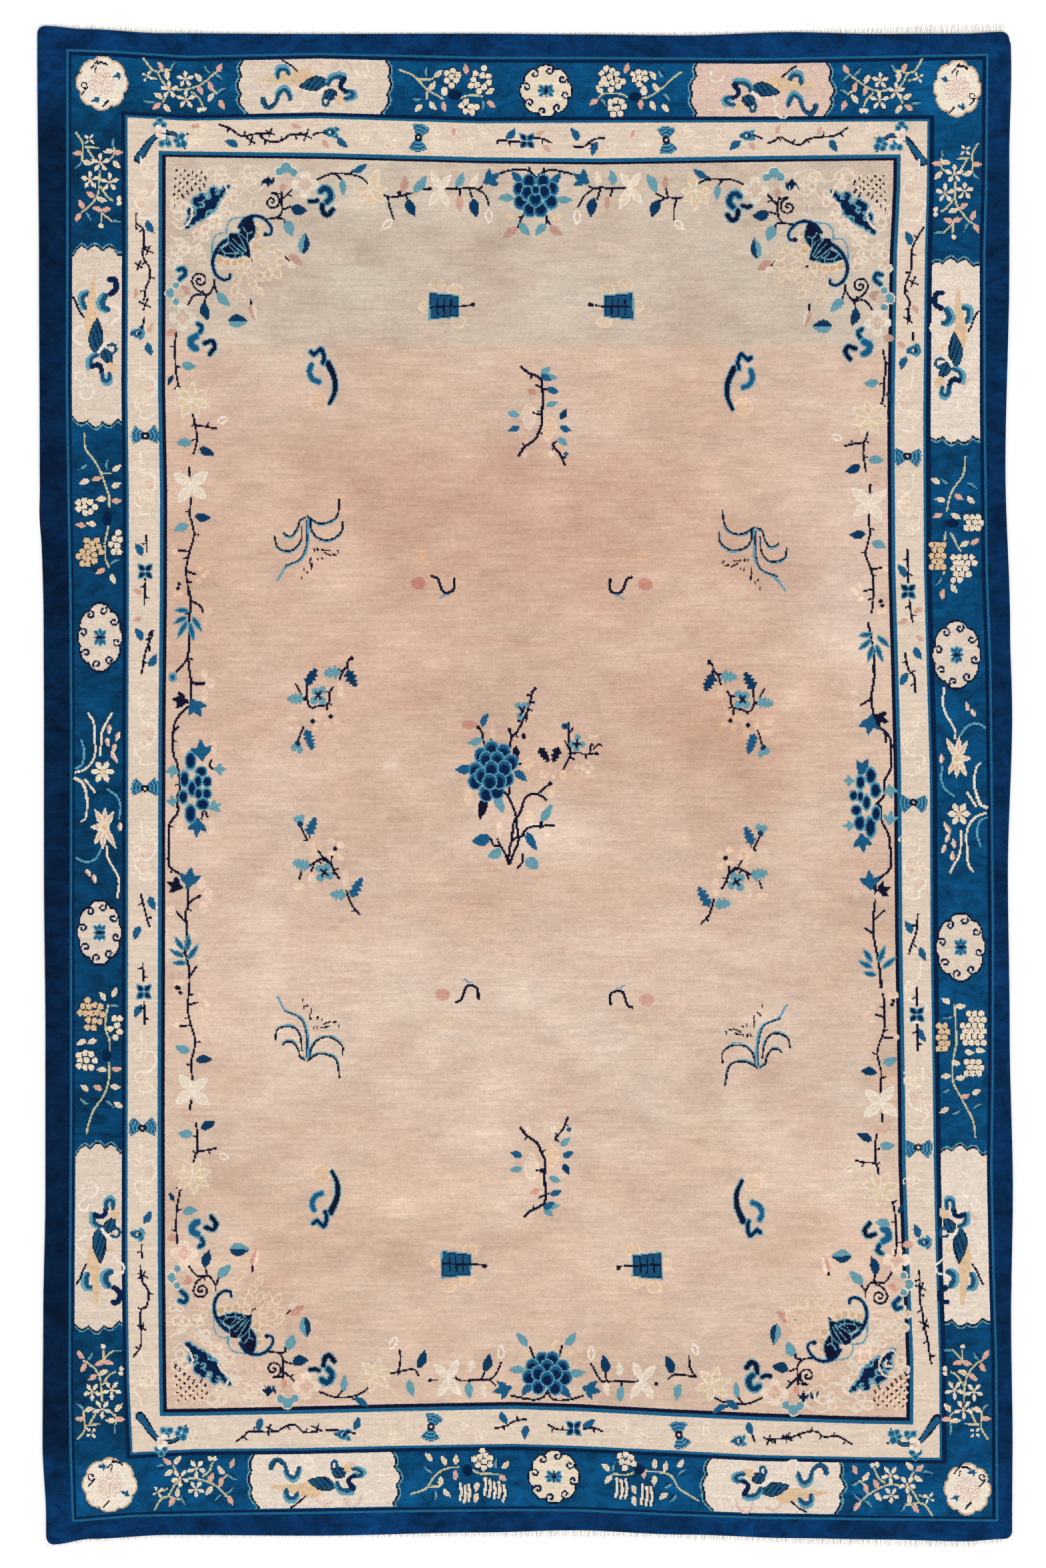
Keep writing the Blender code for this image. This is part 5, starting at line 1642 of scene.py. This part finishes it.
def noise(tree, vector, scale, detail=3.0, rough=0.5, distortion=0.0):
    made = node(tree, "ShaderNodeTexNoise")
    give(made, {"Scale": scale, "Detail": detail, "Roughness": rough, "Distortion": distortion})
    tree.links.new(vector, made.inputs["Vector"])
    return made.outputs["Fac"]


# A colour Mix node; the share, and each colour, is a value or a socket
def mixed(tree, share, first, second, blend="MIX"):
    made = node(tree, "ShaderNodeMix", data_type="RGBA", blend_type=blend)
    for socket, value in ((made.inputs[0], share), (made.inputs[6], first), (made.inputs[7], second)):
        if hasattr(value, "is_output"):
            tree.links.new(value, socket)
        elif isinstance(value, (int, float)):
            socket.default_value = value
        else:
            socket.default_value = (*value, 1.0)
    return made.outputs[2]


# A height laid on the surface, down to a distance in metres
def bumped(tree, height, strength, distance):
    bump = node(tree, "ShaderNodeBump")
    give(bump, {"Strength": strength, "Distance": distance})
    tree.links.new(height, bump.inputs["Height"])
    tree.links.new(bump.outputs[0], tree.nodes["Principled BSDF"].inputs["Normal"])


wool = {"tuft": 0.075, "streaks": 0.13, "mottle": 0.12, "fibre": 0.10}   # shares lighter and darker
woolShine = {"Roughness": 0.88, "Specular IOR Level": 0.08, "Sheen Weight": 0.05,
             "Sheen Roughness": 0.45}


# Wool pile: every knot a little lighter or darker, streaks along the weft, soft mottling, and the
# painted nap sheen and shade where it is given
def pileShading(tree, colour, napLight=None):
    coords = node(tree, "ShaderNodeTexCoord").outputs["Object"]
    snapped = node(tree, "ShaderNodeVectorMath", operation="SNAP")
    snapped.inputs[1].default_value = (knot, knot, 1.0)
    tree.links.new(coords, snapped.inputs[0])
    cell = node(tree, "ShaderNodeTexWhiteNoise", noise_dimensions="2D")
    tree.links.new(snapped.outputs[0], cell.inputs["Vector"])

    def swing(value, share, *span):
        return ranged(tree, value, 1.0 - share, 1.0 + share, *span)

    tuft = swing(cell.outputs["Value"], wool["tuft"])
    streaks = noise(tree, scaled(tree, coords, 7.0, 120.0), 1.0, 4.0, 0.65)
    streaks = swing(streaks, wool["streaks"], 0.25, 0.75)
    mottled = noise(tree, scaled(tree, coords, 1.0, 1.5), 60.0, 5.0, 0.7)
    mottled = swing(mottled, wool["mottle"], 0.25, 0.75)
    fibre = swing(noise(tree, coords, 900.0, 2.0), wool["fibre"], 0.25, 0.75)
    value = maths(tree, "MULTIPLY", maths(tree, "MULTIPLY", tuft, streaks),
                  maths(tree, "MULTIPLY", mottled, fibre))
    # Painted nap sheen and shade, where given
    if napLight is not None:
        value = maths(tree, "MULTIPLY", value, napLight)
    grey = node(tree, "ShaderNodeCombineColor")
    for socket in grey.inputs:
        tree.links.new(value, socket)
    colour = mixed(tree, 1.0, colour, grey.outputs[0], "MULTIPLY")
    shader = tree.nodes["Principled BSDF"]
    tree.links.new(colour, shader.inputs["Base Color"])
    give(shader, woolShine)
    height = maths(tree, "ADD", cell.outputs["Value"], maths(tree, "MULTIPLY", mottled, 2.0))
    height = maths(tree, "ADD", height, noise(tree, coords, 420.0, 3.0))
    bumped(tree, height, 0.35, 0.0016)


def newMaterial(name):
    material = bpy.data.materials.new(name)
    material.use_nodes = True
    return material, material.node_tree


def attribute(tree, name, output="Color"):
    return node(tree, "ShaderNodeAttribute", attribute_name=name).outputs[output]


fieldMottle = {"dark": (0.93, 0.87, 0.85), "light": (1.04, 1.09, 1.11)}
# Painted sheen and shade of the nap on the blues, darker and lighter
blueNapSheen = {"dark": -0.55, "light": 0.75}


# The grounds change under the border's lines, where each inset passes nought; the blues get patches of
# painted nap sheen and shade
def groundWool():
    material, tree = newMaterial("groundWool")
    insets = node(tree, "ShaderNodeSeparateXYZ")
    tree.links.new(attribute(tree, "insets", "Vector"), insets.inputs[0])
    colour = linear(*grounds["band"])
    for number, name in enumerate(("blue", "cream", "field")):
        inside = ranged(tree, insets.outputs[number], 0.0, 1.0, 0.0, 2.0)
        colour = mixed(tree, inside, colour, linear(*grounds[name]))
    # The wear, with the painted light and shade of the blues
    colour = mixed(tree, 1.0, colour, attribute(tree, "wearAndPaintedLight"), "MULTIPLY")
    coords = node(tree, "ShaderNodeTexCoord").outputs["Object"]
    faded = noise(tree, scaled(tree, coords, 1.0, 1.7), 3.4, 9.0, 0.66, 0.4)
    faded = ranged(tree, faded, 0.0, 1.0, 0.34, 0.66)
    fields = ranged(tree, insets.outputs[2], 0.0, 1.0, 0.0, 2.0)
    tinted = mixed(tree, faded, fieldMottle["dark"], fieldMottle["light"])
    colour = mixed(tree, fields, colour, mixed(tree, 1.0, colour, tinted, "MULTIPLY"))
    # Painted sheen and shade of the nap: patches lighter and darker, on the blues only
    napSheen = noise(tree, scaled(tree, coords, 1.0, 1.5), 13.0, 7.0, 0.68, 0.9)
    dark = ranged(tree, insets.outputs[1], 1.0, 0.0, -4.0, 0.0)
    swing = ranged(tree, napSheen, blueNapSheen["dark"], blueNapSheen["light"], 0.3, 0.7)
    napLight = maths(tree, "ADD", maths(tree, "MULTIPLY", swing, dark), 1.0)
    pileShading(tree, colour, napLight=napLight)
    return material


# Each knot's dye is on the mesh itself
def knotWool():
    material, tree = newMaterial("knotWool")
    pileShading(tree, attribute(tree, "dye"))
    return material


warpDyes = {"shade": (214, 205, 190), "light": (246, 241, 230), "soil": (205, 190, 165)}
warpSoil = 0.45


def warpCotton():
    material, tree = newMaterial("warpCotton")
    coords = node(tree, "ShaderNodeTexCoord").outputs["Object"]
    ply = ranged(tree, noise(tree, coords, 260.0, 4.0, 0.6), 0.0, 1.0, 0.3, 0.7)
    soil = ranged(tree, noise(tree, coords, 9.0, 3.0), 0.0, 1.0, 0.35, 0.7)
    colour = mixed(tree, ply, linear(*warpDyes["shade"]), linear(*warpDyes["light"]))
    soiled = maths(tree, "MULTIPLY", soil, warpSoil)
    colour = mixed(tree, soiled, colour, linear(*warpDyes["soil"]))
    shader = tree.nodes["Principled BSDF"]
    tree.links.new(colour, shader.inputs["Base Color"])
    give(shader, {"Roughness": 0.85, "Specular IOR Level": 0.2})
    bumped(tree, ply, 0.5, 0.0006)
    return material


# The rug's ground

rug = {
    "width": 2.740, "length": 4.255, "crown": 0.0110, "belly": 0.0062, "foot": 0.0036,
    "foundation": 0.0030, "shoulder": 0.0080, "cornerRadius": 0.022, "sideSetback": 0.0012,
    "endSetback": 0.0145, "columns": 168, "rows": 260, "tuftRagged": 0.0010,
    "brim": 0.0050, "brimRagged": 0.4, "tuck": 0.0006,
}
shoulderLines = (0.0, 0.0010, 0.0025, 0.0048, 0.0080, 0.0140, 0.0220)
crownWaves = table("height across along phase",
    (0.00045, 1.5, 2.0, 0.6), (0.00035, -2.5, 4.0, 2.1), (0.00030, 4.0, 5.5, 4.4))
# Millimetres outside a true rectangle
sideDrift = table("at left right",
    (2.04, 15, -2), (1.47, 10, -2), (0.90, 8, -13), (0.45, -3, 0), (0.20, -4, 6), (-0.25, -4, -6),
    (-0.70, -8, -1), (-1.15, -8, 8), (-1.50, -2, 3), (-1.85, 0, 7), (-2.06, -10, 6))
endDrift = table("at far near",
    (-1.35, 22, 25), (-1.24, 13, 9), (-1.02, 1, -2), (-0.60, -1, 0), (-0.13, 0, -9),
    (0.13, -2, -15), (0.45, -5, -3), (0.75, 4, 7), (1.00, -1, 11), (1.24, 0, 16), (1.35, 5, 9))
# Millimetres past half the length
fringeTips = table("at far near",
    (-1.36, 28, 31), (-1.22, 23, 17), (-1.02, 14, 7), (-0.75, 6, 6), (-0.13, 4, 4), (0.33, 4, 5),
    (0.55, 6, 14), (0.90, 15, 26), (1.22, 25, 33), (1.36, 28, 20))
sideCord = table("side at reach width", (1, 2.02, 0.16, 0.0065), (-1, 0.76, 0.07, 0.0045))


# One column of a table, smooth between its rows: 3t squared less 2t cubed
def eased(rows, name, at):
    ordered = sorted(rows, key=lambda row: row["at"])
    places = np.array([row["at"] for row in ordered])
    values = np.array([row[name] for row in ordered], float)
    at = np.clip(at, places[0], places[-1])
    low = np.clip(np.searchsorted(places, at) - 1, 0, len(places) - 2)
    t = (at - places[low]) / (places[low + 1] - places[low])
    return values[low] + (values[low + 1] - values[low]) * t * t * (3.0 - 2.0 * t)


# The place on the uneven rug of a point given by u and v, both -1 to 1: a rectangle with
# round corners, whose sides then drift out or in, less and less towards the other side
def outline(u, v, sideInset=0.0, endInset=0.0):
    halfWidth = rug["width"] / 2.0 - sideInset
    halfLength = rug["length"] / 2.0 - endInset
    x, y = u * halfWidth, v * halfLength
    radius = rug["cornerRadius"]
    a = np.maximum(np.abs(x) - halfWidth + radius, 0.0) / radius
    b = np.maximum(np.abs(y) - halfLength + radius, 0.0) / radius
    x = np.where(a * b > 0, np.sign(x) * (halfWidth - radius + radius * a * np.sqrt(1 - b * b / 2)), x)
    y = np.where(a * b > 0, np.sign(y) * (halfLength - radius + radius * b * np.sqrt(1 - a * a / 2)), y)
    right, far = 0.5 + x / rug["width"], 0.5 + y / rug["length"]
    outX = eased(sideDrift, "right", y) * right ** 4 - eased(sideDrift, "left", y) * (1 - right) ** 4
    outY = eased(endDrift, "far", x) * far ** 6 - eased(endDrift, "near", x) * (1 - far) ** 6
    return x + outX * 0.001, y + outY * 0.001


# The top of the pile: long low waves, rounded over like a quarter circle at the edge
def crown(u, v):
    edge = np.minimum((1 - np.abs(u)) * rug["width"], (1 - np.abs(v)) * rug["length"]) / 2.0
    rise = 1.0 - np.clip(edge / rug["shoulder"], 0.0, 1.0)
    top = rug["crown"] + sum(
        wave["height"] * np.sin(np.pi * (wave["across"] * u + wave["along"] * v) + wave["phase"])
        for wave in crownWaves)
    return rug["belly"] + (top - rug["belly"]) * np.sqrt(1.0 - rise * rise)


def gridLines(size, count):
    close = 1.0 - np.array(shoulderLines) / (size / 2.0)
    return np.concatenate([-close, np.linspace(-close[-1], close[-1], count + 2)[1:-1], close[::-1]])


def squaresOf(x, y):
    return x / square + middle["x"], middle["y"] - y / square


# The grid's outer points, in order once round, counter-clockwise
def rimOf(rows, cols):
    index = np.arange(rows * cols).reshape(rows, cols)
    return np.concatenate([index[0, :-1], index[:-1, -1], index[-1, :0:-1], index[:0:-1, 0]])


def finishPiece(name, vertices, faces, material, smooth=True):
    mesh = bpy.data.meshes.new(name)
    mesh.from_pydata(vertices, [], faces)
    mesh.materials.append(material)
    mesh.polygons.foreach_set("use_smooth", np.full(len(mesh.polygons), smooth))
    piece = bpy.data.objects.new(name, mesh)
    bpy.context.scene.collection.objects.link(piece)
    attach(piece, "root")
    return piece


# A grid of u and v for the pile, rings drawn down to the floor, and a flat back
def makeRug(material):
    across, along = gridLines(rug["width"], rug["columns"]), gridLines(rug["length"], rug["rows"])
    v, u = np.meshgrid(along, across, indexing="ij")
    x, y = outline(u, v)
    points = [np.column_stack([x.ravel(), y.ravel(), crown(u, v).ravel()])]
    rows, cols = u.shape
    index = np.arange(rows * cols).reshape(rows, cols)
    faces = [np.column_stack([index[:-1, :-1].ravel(), index[:-1, 1:].ravel(),
                              index[1:, 1:].ravel(), index[1:, :-1].ravel()])]
    rim = rimOf(rows, cols)
    rimU, rimV = u.ravel()[rim], v.ravel()[rim]
    ring, total = rim, rows * cols
    side = rug["sideSetback"]
    ragged = rug["tuftRagged"] * chance.uniform(-1.0, 1.0, len(rim))
    for sideInset, endInset, height, corded in (
        (ragged * rug["brimRagged"], ragged * rug["brimRagged"], rug["brim"], False),
        (side + ragged, side + ragged, rug["foot"], False),
        (side, rug["endSetback"], rug["foundation"], True),
        (side - rug["tuck"], rug["endSetback"] - rug["tuck"], rug["foundation"] / 2.0, True),
        (side, rug["endSetback"], 0.0, True),
    ):
        px, py = outline(rimU, rimV, sideInset, endInset)
        if corded:
            for cord in sideCord:
                bell = cord["width"] * np.exp(-((py - cord["at"]) / cord["reach"]) ** 2)
                px = px + cord["side"] * bell * (rimU == cord["side"])
        points.append(np.column_stack([px, py, np.full(len(px), height)]))
        new = np.arange(total, total + len(rim))
        faces.append(np.column_stack([ring, new, np.roll(new, -1), np.roll(ring, -1)]))
        ring, total = new, total + len(rim)
    vertices = np.vstack(points)
    quads = np.vstack(faces).tolist()
    piece = finishPiece("rug_pile", vertices, quads + [ring[::-1].tolist()], material)
    sx, sy = squaresOf(vertices[:, 0], vertices[:, 1])
    mesh = piece.data
    data = mesh.attributes.new("insets", "FLOAT_VECTOR", "POINT").data
    insets = np.column_stack([inset(line, sx, sy) for line in ("guard", "inner", "field")])
    data.foreach_set("vector", insets.astype(np.float32).ravel())
    # Each point's wear, with the painted light and shade of the blues
    data = mesh.attributes.new("wearAndPaintedLight", "FLOAT_COLOR", "POINT").data
    wornAndLit = np.column_stack([wearAndPaintedLight(sx, sy), np.ones(len(sx))])
    data.foreach_set("color", wornAndLit.astype(np.float32).ravel())
    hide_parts("rug")
    return piece


# The knots of the figures, in joined lengths

knots = {"lift": 0.00028, "ragged": 0.14, "tilesAcross": 3, "tilesAlong": 5, "uneven": 0.05}


# Every knot that isn't ground is a square of its dye, on the same crown as the pile, with
# corners that it shares with its neighbours
def makeKnots(material):
    cornerX = np.append(chartX - knotSquares / 2.0, chartX[-1] + knotSquares / 2.0)
    cornerY = np.append(chartY - knotSquares / 2.0, chartY[-1] + knotSquares / 2.0)
    gridX, gridY = bent(*np.meshgrid(cornerX, cornerY))
    shake = knots["ragged"] * knotSquares
    gridX = gridX + chance.uniform(-shake, shake, gridX.shape)
    gridY = gridY + chance.uniform(-shake, shake, gridY.shape)
    worldX, worldY = (gridX - middle["x"]) * square, (middle["y"] - gridY) * square
    height = crown(worldX / rug["width"] * 2.0, worldY / rug["length"] * 2.0) + knots["lift"]
    corner = np.arange(gridX.size).reshape(gridX.shape)
    table = np.zeros((len(dyeNames) + 1, 3))
    table[1:len(dyes) + 1] = [linear(*dyes[name]) for name in dyes]
    tintTable = np.ones((len(dyeNames) + 1, 3))
    tintTable[len(dyes) + 1:] = [tints[name] for name in tints]
    made = []
    rowCuts = np.linspace(0, len(chartY), knots["tilesAlong"] + 1).astype(int)
    colCuts = np.linspace(0, len(chartX), knots["tilesAcross"] + 1).astype(int)
    for r0, r1 in zip(rowCuts, rowCuts[1:]):
        for c0, c1 in zip(colCuts, colCuts[1:]):
            rows, cols = np.nonzero(chart[r0:r1, c0:c1])
            if len(rows) == 0:
                continue
            rows, cols = rows + r0, cols + c0
            quads = np.column_stack([corner[rows + 1, cols], corner[rows + 1, cols + 1],
                                     corner[rows, cols + 1], corner[rows, cols]])
            used, quads = np.unique(quads, return_inverse=True)
            quads = quads.reshape(-1, 4)
            vertices = np.column_stack([worldX.ravel()[used], worldY.ravel()[used],
                                        height.ravel()[used]])
            dye = chart[rows, cols]
            colour = table[dye]
            tinted = dye > len(dyes)
            at = rows[tinted], cols[tinted]
            colour[tinted] = groundColour(knotX[at], knotY[at]) * tintTable[dye[tinted]]
            colour *= 1.0 + chance.normal(0.0, knots["uneven"], (len(dye), 1))
            name = "knots_%02d" % (len(made) + 1)
            piece = finishPiece(name, vertices, quads.tolist(), material)
            rgba = np.column_stack([colour, np.ones(len(dye))]).astype(np.float32)
            data = piece.data.attributes.new("dye", "FLOAT_COLOR", "CORNER").data
            data.foreach_set("color", np.repeat(rgba, 4, axis=0).ravel())
            flat = piece.data.uv_layers.new(name="OFBake")
            low, span = vertices[:, :2].min(axis=0), np.ptp(vertices[:, :2], axis=0).max() * 1.01
            laid = (vertices[quads.ravel(), :2] - low) / span + 0.002
            flat.data.foreach_set("uv", laid.astype(np.float32).ravel())
            made.append(piece)
    return made


# The warp fringe

fringe = {"yarns": 620, "yarnWidth": 0.0016, "strip": 0.0026, "stripHidden": 0.0020,
          "stripGap": 0.0006, "endInset": 0.020, "lean": 0.0045, "uneven": 0.0022, "rings": 5,
          "shake": 0.0009, "shortest": 0.004, "held": 0.003, "curl": 0.0008, "thinning": 0.35,
          "rise": 0.62, "stripSteps": 260}


# The woven strip, then one three-sided yarn for each group of warps: it leaves the strip,
# leans and droops to the floor, and thins to its tip
def makeFringe(name, end, material):
    sideName = "far" if end > 0 else "near"
    count, rings = fringe["yarns"], fringe["rings"]
    half = rug["width"] / 2.0 - fringe["endInset"]
    middles = np.linspace(-half, half, count)
    middles = middles + chance.uniform(-fringe["shake"], fringe["shake"], count)

    def edges(x):
        _, y = outline(x / (rug["width"] / 2.0), np.full(len(x), float(end)), 0.0, rug["endSetback"])
        foot = np.abs(y)
        outer = foot + rug["endSetback"] - fringe["stripHidden"]
        tips = rug["length"] / 2.0 + eased(fringeTips, sideName, x) * 0.001
        return foot + fringe["stripGap"], outer, np.maximum(tips, outer + fringe["shortest"])

    inner, outer, tips = edges(middles)
    reach = tips + chance.uniform(-1.0, 1.0, count) * fringe["uneven"]
    lean = chance.normal(0.0, fringe["lean"], count)
    t = np.linspace(0.0, 1.0, rings)[None, :]
    sideways = middles[:, None] + lean[:, None] * t ** 1.5
    sideways = sideways + fringe["curl"] * np.sin(7.0 * t + 9.0 * chance.random(count)[:, None])
    forward = outer[:, None] - fringe["held"] + (reach - outer + fringe["held"])[:, None] * t
    radius = fringe["yarnWidth"] / 2.0 * (1.0 - fringe["thinning"] * t)
    radius = radius * chance.uniform(0.75, 1.2, (count, 1))
    height = fringe["strip"] * fringe["rise"] * (1.0 - t) ** 1.2 + radius + 0.00005
    turns = np.radians([90.0, 210.0, 330.0])[None, None, :]
    px = sideways[..., None] + radius[..., None] * np.cos(turns)
    pz = np.maximum(height[..., None] + radius[..., None] * np.sin(turns), 0.0)
    py = np.broadcast_to(end * forward[..., None], px.shape)
    vertices = np.column_stack([px.ravel(), py.ravel(), pz.ravel()])
    index = np.arange(count * rings * 3).reshape(count, rings, 3)
    a, b = index[:, :-1], index[:, 1:]
    walls = np.stack([a, np.roll(a, -1, 2), np.roll(b, -1, 2), b], -1).reshape(-1, 4)
    starts, ends = index[:, 0, ::-1], index[:, -1]
    if end > 0:
        walls, starts, ends = walls[:, ::-1], starts[:, ::-1], ends[:, ::-1]
    x = np.linspace(-half, half, fringe["stripSteps"])
    inner, outer, _ = edges(x)
    section = [np.column_stack([x, end * y, np.full(len(x), z)])
               for y, z in ((inner, 0.0), (inner, fringe["strip"]), (outer, fringe["strip"] * 0.9),
                            (outer, 0.0))]
    strip = np.stack(section, 1)
    base = len(vertices)
    order = base + np.arange(len(x) * 4).reshape(len(x), 4)
    a, b = order[:-1], order[1:]
    bands = np.stack([a, b, np.roll(b, -1, 1), np.roll(a, -1, 1)], -1).reshape(-1, 4)
    caps = [order[0].tolist(), order[-1, ::-1].tolist()]
    if end < 0:
        bands = bands[:, ::-1]
        caps = [cap[::-1] for cap in caps]
    faces = walls.tolist() + starts.tolist() + ends.tolist() + bands.tolist() + caps
    piece = finishPiece(name, np.vstack([vertices, strip.reshape(-1, 3)]), faces, material, False)
    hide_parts("fringe_" + sideName)
    return piece


pile = makeRug(groundWool())
print("rug ground made")
tiles = makeKnots(knotWool())
print("knots made:", len(tiles), "lengths")
cotton = warpCotton()
fringes = [makeFringe("fringe_far_yarns", 1, cotton), makeFringe("fringe_near_yarns", -1, cotton)]
print("fringes made")


# Studio

studio = {"floor": 16.0, "sunTilt": 34.0, "sunTurn": 25.0, "sun": 1.55, "sky": 0.53,
          "sunWide": 24.0, "glow": 0.10, "floorDrop": 0.0006,
          "eye": 16.0, "frameWidth": 1568 * square, "frameX": -0.0095, "frameY": 0.0019}


def makeStudio():
    place = (0.0, 0.0, -studio["floorDrop"])
    bpy.ops.mesh.primitive_plane_add(size=studio["floor"], location=place)
    floor = bpy.context.object
    floor.name = "floor"
    material, tree = newMaterial("paleFloor")
    shader = tree.nodes["Principled BSDF"]
    white = (1.0, 1.0, 1.0, 1.0)
    give(shader, {"Base Color": white, "Emission Color": white, "Emission Strength": studio["glow"],
                  "Roughness": 0.9, "Specular IOR Level": 0.1})
    floor.data.materials.append(material)
    world = bpy.data.worlds.new("studioSky")
    world.use_nodes = True
    give(world.node_tree.nodes["Background"], {"Color": white, "Strength": studio["sky"]})
    bpy.context.scene.world = world
    light = bpy.data.lights.new("studioSun", "SUN")
    light.energy = studio["sun"]
    light.angle = np.radians(studio["sunWide"])
    sun = bpy.data.objects.new("studioSun", light)
    sun.rotation_euler = (np.radians(studio["sunTilt"]), 0.0, np.radians(studio["sunTurn"]))
    bpy.context.scene.collection.objects.link(sun)
    lens = bpy.data.cameras.new("camera")
    lens.sensor_fit = "HORIZONTAL"
    lens.sensor_width = 36.0
    lens.lens = 36.0 * studio["eye"] / studio["frameWidth"]
    lens.clip_end = 100.0
    camera = bpy.data.objects.new("camera", lens)
    camera.location = (studio["frameX"], studio["frameY"], studio["eye"])
    bpy.context.scene.collection.objects.link(camera)
    bpy.context.scene.camera = camera
    bpy.context.scene.view_settings.view_transform = "Standard"


makeStudio()
print("studio made")
